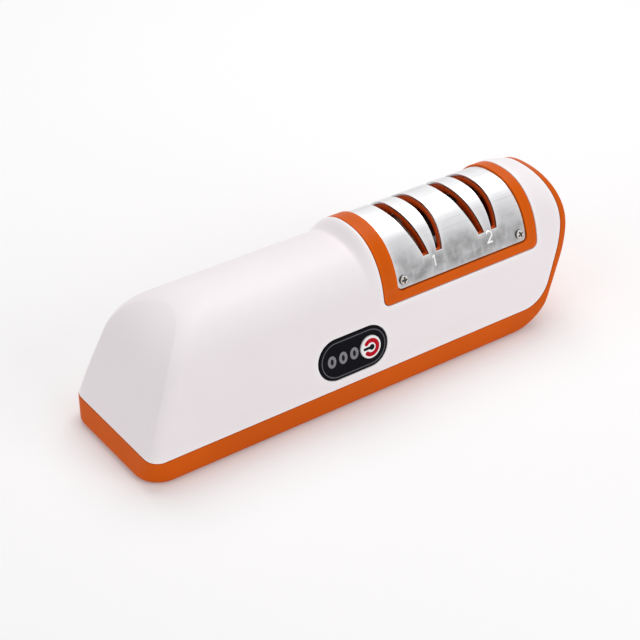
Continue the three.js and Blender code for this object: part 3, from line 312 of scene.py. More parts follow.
def ridge(path: Array, half_width: float, height: float, closed: bool = False,
          sides: int = 14) -> Solid:
    """A low rounded bead along a flat path, as (along, across, up).

    The section is the ellipse (half_width cos a, height sin a). At a free end both axes shrink as
    sqrt(1 - (1 - s)^2), with s the distance to the end over the half width.

    Args:
        path: Points of the path in the plane.
        half_width: Half of the bead's width.
        height: Rise of the bead over the plane.
        closed: Whether the path joins its own start.
        sides: Number of points round the section.

    Returns:
        The closed bead, half sunk in the plane.
    """
    if closed:
        step = np.roll(path, -1, axis=0) - np.roll(path, 1, axis=0)
        taper = np.ones(len(path))
    else:
        step = np.gradient(path, axis=0)
        run = run_along(path)
        nearest = np.minimum(run, run[-1] - run) / half_width
        taper = np.sqrt(1.0 - (1.0 - np.clip(nearest, 0.0, 1.0)) ** 2)
    along = unit(step)
    across = points_of(-along[:, 1], along[:, 0])
    wide, up = polar(taper[:, None], full_turn(sides))
    flat = path[:, None] + across[:, None] * (half_width * wide)[..., None]
    bead = np.concatenate([flat, (height * up)[..., None]], axis=2)
    return closed_grid(bead, loop_rows=closed, loop_columns=True)


def coil(start: float, end: float, radius: float, wire: float, turns: float,
         sides: int = 12) -> Solid:
    """A wire wound about the X axis: centre (x, R cos t, R sin t), with x even in t.

    The wire's section is r cos a along the radius and r sin a along the cross product of the
    winding's direction and that radius. A point at each end closes it.

    Args:
        start: X of the wire's centre at its start.
        end: X of the wire's centre at its end.
        radius: Radius of the winding.
        wire: Radius of the wire.
        turns: Number of turns.
        sides: Number of points round the wire.

    Returns:
        The closed wire.
    """
    share = shares(int(TURN_POINTS * turns))
    turn = 2.0 * math.pi * turns * share
    centre = points_of(start + (end - start) * share, *polar(radius, turn))
    out = points_of(0.0, *polar(1.0, turn))
    across = np.cross(unit(np.gradient(centre, axis=0)), out)
    on_out, on_across = polar(wire, full_turn(sides)[None, :, None])
    tube = centre[:, None] + out[:, None] * on_out + across[:, None] * on_across
    ends = [np.repeat(centre[k, None, None], sides, axis=1) for k in (0, -1)]
    return closed_grid(np.concatenate([ends[0], tube, ends[1]]), loop_columns=True)


def respaced(path: Array, gap: float) -> Array:
    """A path through the same corners with points about a gap apart."""
    length = run_along(path)[-1]
    return sampled(path, np.linspace(0.0, length, max(2, int(round(length / gap)) + 1)))


def warped_box(shape: Callable[[Array, Array, Array], Array], counts: tuple[int, int, int]) -> Solid:
    """The unit cube's six faces carried through shape(a, b, c), closed along its edges."""
    parts = []
    for axis in range(3):
        first, second = (axis + 1) % 3, (axis + 2) % 3
        u = shares(counts[first])[:, None]
        v = shares(counts[second])[None, :]
        for end in (0.0, 1.0):
            cube = [end + 0 * (u + v)] * 3
            cube[first], cube[second] = u + 0 * v, v + 0 * u
            points = shape(*cube)
            faces = grid_faces(*points.shape[:2])
            parts.append(Solid(points.reshape(-1, 3), faces if end else faces[:, ::-1]))
    return Solid.joined(parts).welded().outward()


# Skins: walls of even thickness with rolled rims

# What is left of a cell, for each sum of its kept corners (1, 2, 4, 8 round the cell from its first).
# 0 to 3 are the corners, and 4 to 7 are the crossings on the sides that follow them.
POLYGONS = {
    1: [(0, 4, 7)], 2: [(1, 5, 4)], 3: [(0, 1, 5, 7)], 4: [(2, 6, 5)], 5: [(0, 4, 7), (2, 6, 5)],
    6: [(1, 2, 6, 4)], 7: [(0, 1, 2, 6), (0, 6, 7)], 8: [(3, 7, 6)], 9: [(0, 4, 6, 3)],
    10: [(1, 5, 4), (3, 7, 6)], 11: [(0, 1, 5, 6), (0, 6, 3)], 12: [(2, 3, 7, 5)],
    13: [(2, 3, 0, 4), (2, 4, 5)], 14: [(1, 2, 3, 7), (1, 7, 4)], 15: [(0, 1, 2, 3)],
}


@dataclass
class Patch:
    """Points on a grid of two parameters, with the distance of each into the openings around it."""

    points: Array
    cut: Array | None = None

    def turned_from(self, centre: Sequence[float]) -> "Patch":
        """The patch with its normals pointing away from a centre."""
        away = (self.normals() * (self.points - np.array(centre))).sum()
        if away > 0:
            return self
        return Patch(self.points[::-1], None if self.cut is None else self.cut[::-1])

    def normals(self) -> Array:
        """Unit normals, the cross product of the two grid directions by central differences."""
        return unit(np.cross(np.gradient(self.points, axis=0), np.gradient(self.points, axis=1)))

    def trimmed(self) -> Solid:
        """What is left of the patch where its cut distance is below zero.

        A cell that the zero line crosses keeps the polygon on its own side of it. The crossing on a
        side is A + t (B - A) with t = a / (a - b), where a and b are the distances at its ends.

        Returns:
            The open surface with its normals and, as edge, how near each point is to an opening.
        """
        rows, columns = self.points.shape[:2]
        normals = self.normals()
        if self.cut is None:
            points, faces = self.points.reshape(-1, 3), grid_faces(rows, columns)
            return Solid(points, faces, normals.reshape(-1, 3), np.zeros(rows * columns))
        cut = self.cut
        data = np.concatenate([self.points, normals, cut[..., None]], axis=2)

        def crossings(first: Array, second: Array, a: Array, b: Array) -> Array:
            """Values on the zero line between two neighbouring points of the grid."""
            apart = np.where(np.abs(a - b) > 1e-12, a - b, 1.0)
            share = np.clip(a / apart, 0.0, 1.0)[..., None]
            return first + share * (second - first)

        down = crossings(data[:-1], data[1:], cut[:-1], cut[1:])
        right = crossings(data[:, :-1], data[:, 1:], cut[:, :-1], cut[:, 1:])
        values = np.concatenate([part.reshape(-1, data.shape[2]) for part in (data, down, right)])
        node = np.arange(rows * columns).reshape(rows, columns)
        low = rows * columns + np.arange((rows - 1) * columns).reshape(rows - 1, columns)
        side = low[-1, -1] + 1 + np.arange(rows * (columns - 1)).reshape(rows, columns - 1)
        slots = np.stack([node[:-1, :-1], node[1:, :-1], node[1:, 1:], node[:-1, 1:],
                          low[:, :-1], side[1:], low[:, 1:], side[:-1]], axis=-1)
        kept = (cut < 0).astype(int)
        code = kept[:-1, :-1] + 2 * kept[1:, :-1] + 4 * kept[1:, 1:] + 8 * kept[:-1, 1:]
        faces = [slots[code == case][:, list(polygon) + [polygon[-1]] * (4 - len(polygon))]
                 for case, polygons in POLYGONS.items() for polygon in polygons]
        used, faces = np.unique(np.concatenate(faces), return_inverse=True)
        values = values[used]
        # Nearness to an opening, later the mask for a painted highlight on rims.
        near = np.exp(np.minimum(values[:, -1], 0.0) / RIM_LIGHT_REACH)
        return Solid(values[:, :3], faces.reshape(-1, 4), unit(values[:, 3:6]), near)


def skin(patches: Sequence[Patch], thickness: float, rim: float, centre: Sequence[float],
         steps: int = 4) -> Solid:
    """A closed wall under the patches, with rolled rims round its free edges.

    A rim point is B + t r sin a - n r (1 - cos a) for a from 0 to 90 degrees, then B + t r - n d,
    with B on the free edge, n its normal, t the direction across the edge, r the rim's radius
    and d the thickness. The inner side lies at P - n d.

    Args:
        patches: The outer surface, cut back by the rim's radius from each opening.
        thickness: Thickness of the wall.
        rim: Radius of the rolled rim.
        centre: Point that the outer side faces away from.
        steps: Number of rows in a rolled rim.

    Returns:
        The closed wall with its normals and its edge values, the mask of the painted rim highlight.
    """
    outer = Solid.joined([patch.turned_from(centre).trimmed() for patch in patches]).welded()
    total = len(outer.points)
    start = outer.faces.ravel()
    end = np.roll(outer.faces, -1, axis=1).ravel()
    real = start != end
    start, end = start[real], end[real]
    free = ~np.isin(start * total + end, end * total + start)
    start, end = start[free], end[free]
    border, number = np.unique(start, return_inverse=True)
    place = np.full(total, -1)
    place[border] = np.arange(len(border))
    after, before = np.zeros(len(border), int), np.zeros(len(border), int)
    after[place[start]] = end
    before[place[end]] = start
    normal = outer.normals[border]
    across = unit(np.cross(outer.points[after] - outer.points[before], normal))
    across = unit(2.0 * across + across[place[after]] + across[place[before]])
    points, normals = [outer.points], [outer.normals]
    for angle in np.linspace(0.0, math.pi / 2, steps + 1)[1:]:
        sunk = normal * (1 - math.cos(angle))
        points.append(outer.points[border] + rim * (across * math.sin(angle) - sunk))
        normals.append(normal * math.cos(angle) + across * math.sin(angle))
    points.append(outer.points[border] + across * rim - normal * thickness)
    normals.append(across)
    points.append(outer.points - outer.normals * thickness)
    normals.append(-outer.normals)
    # Rim rows get a fading mask for the painted rim highlight.
    rim_light_rows = [np.full(len(border), 1.0 - RIM_FADE * k / steps) for k in range(steps)]
    edge = [outer.edge, *rim_light_rows, np.zeros(len(border)), np.zeros(total)]
    inner = total + (steps + 1) * len(border)
    rows = [total + k * len(border) + np.arange(len(border)) for k in range(steps + 1)]
    ring = [border, *rows, inner + border]
    faces = [outer.faces, inner + outer.faces[:, ::-1]]
    a, b = place[start], place[end]
    faces += [np.stack([upper[b], upper[a], lower[a], lower[b]], axis=1)
              for upper, lower in zip(ring, ring[1:])]
    whole = [np.concatenate(parts) for parts in (points, faces, normals, edge)]
    return Solid(whole[0], whole[1], unit(whole[2]), whole[3])


# Distances to outlines, below zero inside

def stadium(a: Array, b: Array, length: float, width: float) -> Array:
    """Distance to a straight slot with round ends."""
    return np.hypot(np.maximum(np.abs(a) - (length - width) / 2, 0.0), b) - width / 2


def stadium_path(length: float, width: float, count: int, arc_points: int = 40) -> Array:
    """Points round a stadium, evenly spaced: two half circles joined by straight sides."""
    angle = np.linspace(-math.pi / 2, math.pi / 2, arc_points)
    right = points_of(*polar(width / 2, angle)) + [(length - width) / 2, 0.0]
    whole = np.concatenate([right, -right, right[:1]])
    return sampled(whole, np.linspace(0.0, run_along(whole)[-1], count, endpoint=False))


@dataclass(frozen=True)
class TallWindow:
    """Outline of a window that is open upwards, with its two lower corners rounded."""

    left: float
    right: float
    bottom: float
    radius: float

    def distance(self, points: Array) -> Array:
        """Distance to the outline in the side view.

        Args:
            points: Points of the housing.

        Returns:
            The distance, above zero outside the window.
        """
        middle, half = (self.left + self.right) / 2, (self.right - self.left) / 2
        across = np.abs(points[..., 0] - middle) - half + self.radius
        below = self.bottom + self.radius - points[..., 2]
        outside = np.hypot(np.maximum(across, 0.0), np.maximum(below, 0.0))
        return outside + np.minimum(np.maximum(across, below), 0.0) - self.radius


@dataclass(frozen=True)
class EndCurve:
    """Side outline of a bulging end: a corner arc, a leaning line and the arc of the bulge."""

    bulge_x: float
    bulge_z: float
    bulge: float
    corner: float
    lean: float
    floor: float

    def grown(self, by: float) -> "EndCurve":
        """The same outline moved outwards by a distance."""
        return replace(self, bulge=self.bulge + by, corner=self.corner + by, floor=self.floor - by)

    @property
    def corner_z(self) -> float:
        """Height of the corner arc's centre."""
        return self.floor + self.corner

    @property
    def corner_x(self) -> float:
        """Place of the corner arc's centre, from which the leaning line touches both arcs."""
        reach = self.bulge - self.corner + (self.corner_z - self.bulge_z) * math.sin(self.lean)
        return self.bulge_x + reach / math.cos(self.lean)

    def joints(self) -> Pair:
        """Heights at which the corner arc and the leaning line end."""
        sine = math.sin(self.lean)
        return self.corner_z - self.corner * sine, self.bulge_z - self.bulge * sine

    def distance(self, x: Array, z: Array) -> Array:
        """Distance to the outline.

        Args:
            x: X of the points.
            z: Their heights.

        Returns:
            The distance, above zero outside the outline.
        """
        low, high = self.joints()
        normal = np.array([math.cos(self.lean), -math.sin(self.lean)])
        start = np.array([self.corner_x + self.corner * normal[0], low])
        stop = np.array([self.bulge_x + self.bulge * normal[0], high])
        along = unit(stop - start)
        run = (x - start[0]) * along[0] + (z - start[1]) * along[1]
        on_line = (x - start[0]) * normal[0] + (z - start[1]) * normal[1]
        on_corner = np.hypot(np.maximum(x - self.corner_x, 0.0), np.minimum(z - self.corner_z, 0.0))
        on_bulge = np.hypot(np.maximum(x - self.bulge_x, 0.0), z - self.bulge_z) - self.bulge
        above = run > np.linalg.norm(stop - start)
        return np.where(run < 0, on_corner - self.corner, np.where(above, on_bulge, on_line))

    def at(self, z: Array) -> tuple[Array, Array, Array]:
        """Place and outward direction of the outline at a height.

        Args:
            z: Heights above the outline's floor.

        Returns:
            X of the outline and the two parts, along X and Z, of its outward direction.
        """
        low, high = self.joints()
        corner_drop = np.clip((z - self.corner_z) / self.corner, -1.0, 1.0)
        bulge_rise = np.clip((z - self.bulge_z) / self.bulge, -1.0, 1.0)
        on_corner = self.corner_x + self.corner * np.sqrt(1 - corner_drop ** 2)
        on_bulge = self.bulge_x + self.bulge * np.sqrt(1 - bulge_rise ** 2)
        foot = self.corner_x + self.corner * math.cos(self.lean)
        on_line = foot + (z - low) * math.tan(self.lean)
        sine = np.where(z < low, corner_drop, np.where(z < high, -math.sin(self.lean), bulge_rise))
        x = np.where(z < low, on_corner, np.where(z < high, on_line, on_bulge))
        return x, np.sqrt(1 - sine ** 2), sine


@dataclass(frozen=True)
class HousingForm:
    """Outer sizes of the housing and the surfaces that follow from them."""

    length: float = 214.6
    seam_width: float = 61.9
    table: float = 0.6
    base_depth: float = 10.2
    draft: float = math.radians(10.2)
    spring_rise: float = 28.4
    handle_rise: float = 48.7
    head_rise: float = 53.8
    side_power: float = 2.29
    top_power: float = 2.71
    left_lean: float = math.radians(22)
    shoulder: float = 31.0
    shoulder_drop: float = 4.5
    corner: float = 6.0
    crease_turn: float = math.radians(34)
    crease_radius: float = 1.0
    crease_band: float = 6.3
    crease_rise: float = 14.0
    toe_reach: float = 1.9
    toe_corner: float = 11.0
    neck_start: float = 108.6
    neck_run: float = 6.3
    fall_start: float = 198.9
    fall_radius: float = 8.0
    fall: float = math.radians(15)
    end_bulge: float = 44.0
    end_bulge_rise: float = 46.9
    end_corner: float = 22.0
    end_lean: float = math.radians(27)
    end_wall: float = 3.6
    seam_bulge: float = 46.0
    seam_bulge_rise: float = 48.9
    seam_corner: float = 16.0
    seam_lean: float = math.radians(24)
    gap: float = 0.3
    arch_points: int = 4001
    front_points: int = 3001

    @property
    def left(self) -> float:
        """X of the left end."""
        return -self.length / 2

    @property
    def right(self) -> float:
        """X of the right end."""
        return self.length / 2

    @property
    def seam(self) -> float:
        """Height of the seam between base and upper housing."""
        return self.table + self.base_depth

    @property
    def spring(self) -> float:
        """Height at which the straight walls turn into the arch."""
        return self.seam + self.spring_rise

    @property
    def handle_top(self) -> float:
        """Height of the handle."""
        return self.seam + self.handle_rise

    @property
    def head_top(self) -> float:
        """Height of the grinding head."""
        return self.seam + self.head_rise

    @property
    def outer_end(self) -> EndCurve:
        """Outline of the end wall's outer face."""
        return EndCurve(self.right - self.end_bulge, self.table + self.end_bulge_rise, self.end_bulge,
                        self.end_corner, self.end_lean, self.table)

    @property
    def seam_end(self) -> EndCurve:
        """Outline of the seam between end wall and upper housing."""
        return EndCurve(self.right - self.end_wall - self.seam_bulge, self.table + self.seam_bulge_rise,
                        self.seam_bulge, self.seam_corner, self.seam_lean, self.seam)

    def crown(self, x: Array) -> Array:
        """Height of the head's crest: level, then an arc into a straight fall towards the right end."""
        run = np.maximum(x - self.left - self.fall_start, 0.0)
        bend = self.fall_radius * math.sin(self.fall)
        arc = self.fall_radius - np.sqrt(self.fall_radius ** 2 - np.minimum(run, bend) ** 2)
        return self.head_top - arc - np.maximum(run - bend, 0.0) * math.tan(self.fall)

    def half_width(self, z: Array) -> Array:
        """Half the width between the drafted walls at a height."""
        return self.seam_width / 2 - np.maximum(0.0, z - self.seam) * math.tan(self.draft)

    @cached_property
    def arch_table(self) -> tuple[Array, Array, float]:
        """Even spacing along the head's arch.

        Returns:
            Shares of the arch, their angles and the part of the section that each wall takes.
        """
        turn = np.linspace(0.0, math.pi / 2, self.arch_points)
        z = self.spring + (self.head_top - self.spring) * np.sin(turn) ** (2 / self.top_power)
        y = self.half_width(z) * np.abs(np.cos(turn)) ** (2 / self.side_power)
        run = run_along(points_of(y, z))
        wall = self.spring_rise / math.cos(self.draft)
        return run / run[-1], turn, 0.5 * wall / (wall + run[-1])

    def wall_share(self, z: Array | float) -> Array:
        """Place across the section of a height on the front wall, below zero under the seam."""
        return self.arch_table[2] * (z - self.seam) / self.spring_rise

    def section(self, v: Array, top: Array | float, depth: float = 0.0) -> tuple[Array, Array]:
        """The housing's cross-section: front foot at 0, crown at 0.5 and back foot at 1.

        The walls are straight up to the spring line. Above it, with w the half width at that height,
        y = w cos(a)^(2/p) and z = spring + (top - spring) sin(a)^(2/q).

        Args:
            v: Place across the section.
            top: Height of the crown.
            depth: How far the points lie under the skin.

        Returns:
            Y and Z of the points.
        """
        lengths, turns, wall = self.arch_table
        side = np.where(v < 0.5, -1.0, 1.0)
        w = np.minimum(v, 1.0 - v)
        turn = np.interp(np.clip((w - wall) / (0.5 - wall), 0.0, 1.0), lengths, turns)
        on_arch = self.spring + (top - self.spring) * np.sin(turn) ** (2 / self.top_power)
        z = np.where(w < wall, self.seam + self.spring_rise * w / wall, on_arch)
        narrow = np.where(w < wall, 1.0, np.abs(np.cos(turn)) ** (2 / self.side_power))
        y = side * self.half_width(z) * narrow
        if depth == 0.0:
            return y, z
        out_y, out_z = self.section_normal(v, top)
        return y - depth * out_y, z - depth * out_z

    def section_normal(self, v: Array, top: Array | float) -> tuple[Array, Array]:
        """Outward direction of the section, square to its run from v - e to v + e.

        Args:
            v: Place across the section.
            top: Height of the crown.

        Returns:
            The direction's parts along Y and Z.
        """
        step = 2e-4
        y0, z0 = self.section(v - step, top)
        y1, z1 = self.section(v + step, top)
        run = np.hypot(y1 - y0, z1 - z0)
        return -(z1 - z0) / run, (y1 - y0) / run

    def end_x(self, z: Array) -> Array:
        """The left end in the side view: a leaning line, then an arc that meets the handle's top.

        Args:
            z: Heights over the table.

        Returns:
            X at each height.
        """
        centre_z = self.handle_top - self.shoulder
        meet_z = centre_z + self.shoulder * math.sin(self.left_lean)
        start = self.left + self.toe_reach
        meet_x = start + (meet_z - self.seam) * math.tan(self.left_lean)
        centre_x = meet_x + self.shoulder * math.cos(self.left_lean)
        arc = centre_x - np.sqrt(np.maximum(0.0, self.shoulder ** 2 - (z - centre_z) ** 2))
        return np.where(z < meet_z, start + (z - self.seam) * math.tan(self.left_lean), arc)

    def corner_at(self, turn: Array, rise: Array) -> tuple[Array, Array]:
        """Run and inset of the left corner at a turn t.

        At the seam both are those of a round corner, R (1 - cos t) and R (1 - sin t). Higher up they
        are those of a tight arc up to the crease's turn and a wide arc beyond it.

        Args:
            turn: Turn from the left face, 0 to 90 degrees.
            rise: Height over the seam.

        Returns:
            The run along X and the inset across it.
        """
        crease = smoothstep(0.0, self.crease_rise, rise)
        tight, wide = np.minimum(turn, self.crease_turn), np.maximum(turn, self.crease_turn)
        far_x, far_y = math.cos(self.crease_turn), math.sin(self.crease_turn)
        run = self.crease_radius * (1 - np.cos(tight)) + self.crease_band * (far_x - np.cos(wide))
        inset = self.crease_radius * (far_y - np.sin(tight)) + self.crease_band * (1 - np.sin(wide))
        round_run, round_inset = self.corner * (1 - np.cos(turn)), self.corner * (1 - np.sin(turn))
        return round_run + (run - round_run) * crease, round_inset + (inset - round_inset) * crease

    def head_skin(self, x: Array, v: Array, depth: float) -> Array:
        """Points of the head's skin at a depth, for rows of X and columns across the section."""
        return points_of(x[:, None], *self.section(v, self.crown(x)[:, None], depth))

    def skin_normal(self, x: Array, v: Array) -> Array:
        """Outward direction of the head's skin.

        Its part along X cancels the change of the section along X, taken from x - e to x + e.

        Args:
            x: X of the points.
            v: Their places across the section.

        Returns:
            A unit vector for each point.
        """
        step = 0.05
        out_y, out_z = self.section_normal(v, self.crown(x))
        y0, z0 = self.section(v, self.crown(x - step))
        y1, z1 = self.section(v, self.crown(x + step))
        out_x = -(out_y * (y1 - y0) + out_z * (z1 - z0)) / (2 * step)
        return unit(points_of(out_x, out_y, out_z))

    def front_half(self, depth: float) -> tuple[Array, Array, Array]:
        """Places across the front half of the level head's section, and Y and Z under its skin."""
        v = np.linspace(0.0, 0.5, self.front_points)
        return v, *self.section(v, self.head_top, depth)

    def front_place(self, z: float, depth: float) -> float:
        """Place across the head's section of a height on its front, under the skin by a depth."""
        v, _, heights = self.front_half(depth)
        return float(np.interp(z, heights, v))


FORM = HousingForm()


# Shader maths

class Signal:
    """A shader socket whose operators add Math nodes."""

    def __init__(self, bench: "Bench", socket: bpy.types.NodeSocket) -> None:
        """Wraps a socket of the bench's node tree."""
        self.bench = bench
        self.socket = socket

    def __add__(self, other: "Signal | float") -> "Signal":
        """Sum of two values."""
        return self.bench.maths("ADD", self, other)

    def __sub__(self, other: "Signal | float") -> "Signal":
        """Difference of two values."""
        return self.bench.maths("SUBTRACT", self, other)

    def __rsub__(self, other: float) -> "Signal":
        """Difference with this value taken away."""
        return self.bench.maths("SUBTRACT", other, self)

    def __mul__(self, other: "Signal | float") -> "Signal":
        """Product of two values."""
        return self.bench.maths("MULTIPLY", self, other)

    __radd__ = __add__
    __rmul__ = __mul__

    def band(self, low: float, high: float, start: float = 0.0, end: float = 1.0) -> "Signal":
        """The value carried from the range low to high into start to end, clamped."""
        sockets = {"Value": self, "From Min": low, "From Max": high, "To Min": start, "To Max": end}
        return self.bench.add("ShaderNodeMapRange", {"interpolation_type": "SMOOTHSTEP"}, sockets)


class Bench:
    """The node tree of a material or of the surroundings."""

    def __init__(self, holder: bpy.types.Material | bpy.types.World) -> None:
        """Empties the holder's node tree."""
        self.holder = holder
        holder.use_nodes = True
        self.tree = holder.node_tree
        self.tree.nodes.clear()

    @classmethod
    def named(cls, name: str) -> "Bench":
        """The bench of a new material."""
        return cls(bpy.data.materials.new(name))

    @cached_property
    def place(self) -> Signal:
        """The point's place in its object's own coordinates."""
        return self.add("ShaderNodeTexCoord", {}, {}, "Object")

    def add(self, kind: str, settings: dict, sockets: dict, output: str | int = 0) -> Signal:
        """Adds a node.

        Args:
            kind: The node's type.
            settings: Its own settings, made before its sockets.
            sockets: Values or links of its inputs, by name or number.
            output: The output that is used.

        Returns:
            The chosen output.
        """
        node = self.tree.nodes.new(kind)
        for name, value in settings.items():
            setattr(node, name, value)
        for name, value in sockets.items():
            self.feed(node.inputs[name], value)
        return Signal(self, node.outputs[output])

    def feed(self, socket: bpy.types.NodeSocket, value: object) -> None:
        """Links a signal to a socket, or sets the socket's own value."""
        if isinstance(value, Signal):
            self.tree.links.new(value.socket, socket)
        elif isinstance(value, tuple) and len(value) == 3 and socket.type == "RGBA":
            socket.default_value = (*value, 1.0)
        else:
            socket.default_value = value

    def maths(self, operation: str, first: Signal | float, second: Signal | float) -> Signal:
        """One Math node on two values."""
        return self.add("ShaderNodeMath", {"operation": operation}, {0: first, 1: second})

    def noise(self, scale: float, detail: float, stretch: Sequence[float] = (1, 1, 1),
              shift: Sequence[float] = (0, 0, 0)) -> Signal:
        """Noise on the object's own coordinates, its grain stretched by a share for each axis."""
        place = self.place
        if tuple(stretch) != (1, 1, 1) or tuple(shift) != (0, 0, 0):
            turn = {"Vector": place, "Scale": tuple(stretch), "Location": tuple(shift)}
            place = self.add("ShaderNodeMapping", {}, turn)
        return self.add("ShaderNodeTexNoise", {}, {"Vector": place, "Scale": scale, "Detail": detail})

    def blend(self, share: Signal | float, first: Signal | Colour, second: Signal | Colour) -> Signal:
        """A colour between two colours, on the Mix node's sockets for colours."""
        return self.add("ShaderNodeMix", {"data_type": "RGBA"}, {0: share, 6: first, 7: second}, 2)

    def height(self) -> Signal:
        """Height of the point above the table, in metres."""
        return self.add("ShaderNodeSeparateXYZ", {}, {0: self.place}, 2)

    def edge(self) -> Signal:
        """How near the point is to a rolled rim, or on a screw where painted shade falls, from 0 to 1.
        """
        return self.add("ShaderNodeAttribute", {"attribute_name": "edge"}, {}, "Fac")

    def bump(self, height: Signal, depth: float, strength: float) -> Signal:
        """Normals of a relief of that depth in metres."""
        sockets = {"Height": height, "Distance": depth, "Strength": strength}
        return self.add("ShaderNodeBump", {}, sockets)

    def seen(self) -> Signal:
        """One where the camera looks, directly, in a reflection or through a clear piece, else zero."""
        camera, glossy, through = (self.add("ShaderNodeLightPath", {}, {}, f"Is {kind} Ray")
                                   for kind in ("Camera", "Glossy", "Transmission"))
        return camera + glossy + through

    def close(self, shader: Signal, kind: str = "Material") -> None:
        """Puts a shader on the tree's output."""
        output = self.tree.nodes.new(f"ShaderNodeOutput{kind}")
        self.tree.links.new(shader.socket, output.inputs["Surface"])

    def surface(self, **sockets: object) -> bpy.types.Material:
        """Closes the material with a principled shader, underscores for spaces in its sockets."""
        named = {name.replace("_", " "): value for name, value in sockets.items()}
        self.close(self.add("ShaderNodeBsdfPrincipled", {}, named))
        return self.holder


def scaled(colour: Colour, by: float) -> Colour:
    """A colour made lighter or darker by a share."""
    return tuple(min(1.0, c * by) for c in colour)


@dataclass(frozen=True)
class Marks:
    """Marks of one kind, made from noise, which is carried from low to high into 0 to 1 if low is set.

    Share says how strongly they colour a piece, shade how light they are beside its own colour,
    matt how much rougher they are and depth how far they stand in the relief.
    """

    scale: float
    detail: float
    stretch: Sequence[float] = (1.0, 1.0, 1.0)
    shift: Sequence[float] = (0.0, 0.0, 0.0)
    low: float | None = None
    high: float = 1.0
    share: float = 1.0
    shade: float = 1.0
    matt: float = 0.0
    depth: float = 1.0

    def on(self, bench: Bench) -> Signal:
        """The marks as a value on a bench."""
        value = bench.noise(self.scale, self.detail, self.stretch, self.shift)
        return value if self.low is None else value.band(self.low, self.high)

    def laid(self, value: Signal, tone: Signal | Colour, colour: Colour) -> Signal:
        """A tone with these marks laid over it by their value, in a shade of the piece's colour."""
        return value.bench.blend(value * self.share, tone, scaled(colour, self.shade))

    def rougher(self, value: Signal) -> Signal:
        """Roughness that the marks add above their middle and take away below it."""
        return self.matt * (value - 0.5)


@dataclass(frozen=True)
class Moulded:
    """Moulded plastic: spark-eroded grain, faint flow marks, a painted highlight on rims, light scuffs.
    """

    name: str
    colour: Colour
    roughness: float = 0.42
    grain: float = 1500.0
    relief: float = 0.000015
    mottle: float = 0.03
    sheen: float = 0.5
    dust: float = 0.02
    dust_colour: Colour = (0.55, 0.5, 0.47)
    mottle_band: Pair = (0.3, 0.7)
    flow: Marks = Marks(22.0, 3.0, matt=0.08)
    scuffs: Marks = Marks(260.0, 5.0, (0.25, 1.0, 1.0), (0.3, 0.1, 0.7), 0.62, 0.78, matt=0.1, depth=0.6)
    # Painted highlight: rims near openings are lightened to a paler shade of the colour, standing in for
    # light on the rolled edges.
    rim_share: float = 0.35
    rim_shade: float = 1.25
    rim_gloss: float = 0.06
    strength: float = 0.55
    ior: float = 1.49

    def material(self) -> bpy.types.Material:
        """Builds the plastic's nodes.

        Returns:
            The plastic's material.
        """
        bench = Bench.named(self.name)
        grain, rim = bench.noise(self.grain, 3.0), bench.edge()
        flow, scuffs = self.flow.on(bench), self.scuffs.on(bench)
        pale, deep = scaled(self.colour, 1 + self.mottle), scaled(self.colour, 1 - self.mottle)
        tone = bench.blend(flow.band(*self.mottle_band), deep, pale)
        # Painted highlight on the rims.
        tone = bench.blend(rim * self.rim_share, tone, scaled(self.colour, self.rim_shade))
        tone = bench.blend(scuffs * self.dust, tone, self.dust_colour)
        roughness = self.roughness + self.flow.rougher(flow)
        roughness = roughness + self.scuffs.matt * scuffs - self.rim_gloss * rim
        normal = bench.bump(grain + self.scuffs.depth * scuffs, self.relief, self.strength)
        return bench.surface(Base_Color=tone, Roughness=roughness, Normal=normal, IOR=self.ior,
                             Specular_IOR_Level=self.sheen)


@dataclass(frozen=True)
class BrushedSteel:
    """Thin stainless sheet: lines along the body, cloudy patches, a lower part that is darker, partly
    duller metal and partly painted reflection, and a painted highlight on its rims.
    """

    name: str
    colour: Colour = (0.8, 0.8, 0.815)
    roughness: float = 0.3
    # Darker towards the bottom: partly duller metal, partly a painted reflection of darker surroundings.
    dull_from: float = 0.047
    dull_to: float = 0.0625
    dull_shade: float = 0.2
    lines: Marks = Marks(2600.0, 4.0, (0.012, 1.0, 1.0), share=0.3, shade=0.8, matt=0.05)
    streaks: Marks = Marks(700.0, 3.0, (0.02, 1.0, 1.0), (0.2, 0.4, 0.1), share=0.3, shade=0.55,
                           matt=0.12, depth=0.5)
    clouds: Marks = Marks(110.0, 5.0, (0.7, 1.0, 1.0), (0.5, 0.2, 0.9), 0.3, 0.7, share=0.05, matt=0.1)
    flecks: Marks = Marks(900.0, 4.0, (0.5, 0.25, 0.25), low=0.45, high=0.75, share=0.4, shade=0.9,
                          depth=0.5)
    clouded: float = 0.45
    streak_band: Pair = (0.45, 0.7)
    rim_share: float = 0.5
    rim_colour: Colour = (0.85, 0.85, 0.86)
    relief: float = 0.00002
    strength: float = 0.45

    def material(self) -> bpy.types.Material:
        """Builds the sheet's nodes.

        Returns:
            The sheet's material.
        """
        bench = Bench.named(self.name)
        kinds = (self.lines, self.streaks, self.clouds, self.flecks)
        lines, streaks, clouds, flecks = (marks.on(bench) for marks in kinds)
        # Painted reflection: the sheet darkens towards the bottom, partly as duller metal.
        dull_and_reflection = bench.height().band(self.dull_to, self.dull_from)
        share = dull_and_reflection * (1 - self.clouded + self.clouded * clouds) + self.clouds.share * clouds
        tone = bench.blend(share, self.colour, scaled(self.colour, self.dull_shade))
        tone = self.flecks.laid(flecks * dull_and_reflection, tone, self.colour)
        tone = self.streaks.laid(streaks.band(*self.streak_band), tone, self.colour)
        tone = self.lines.laid(lines, tone, self.colour)
        # Painted highlight on the rolled rims.
        tone = bench.blend(bench.edge() * self.rim_share, tone, self.rim_colour)
        roughness = self.roughness + self.streaks.rougher(streaks)
        roughness = roughness + self.clouds.matt * clouds * dull_and_reflection + self.lines.matt * lines
        height = lines + self.streaks.depth * streaks + self.flecks.depth * flecks * dull_and_reflection
        normal = bench.bump(height, self.relief, self.strength)
        return bench.surface(Base_Color=tone, Roughness=roughness, Metallic=1.0, Normal=normal)


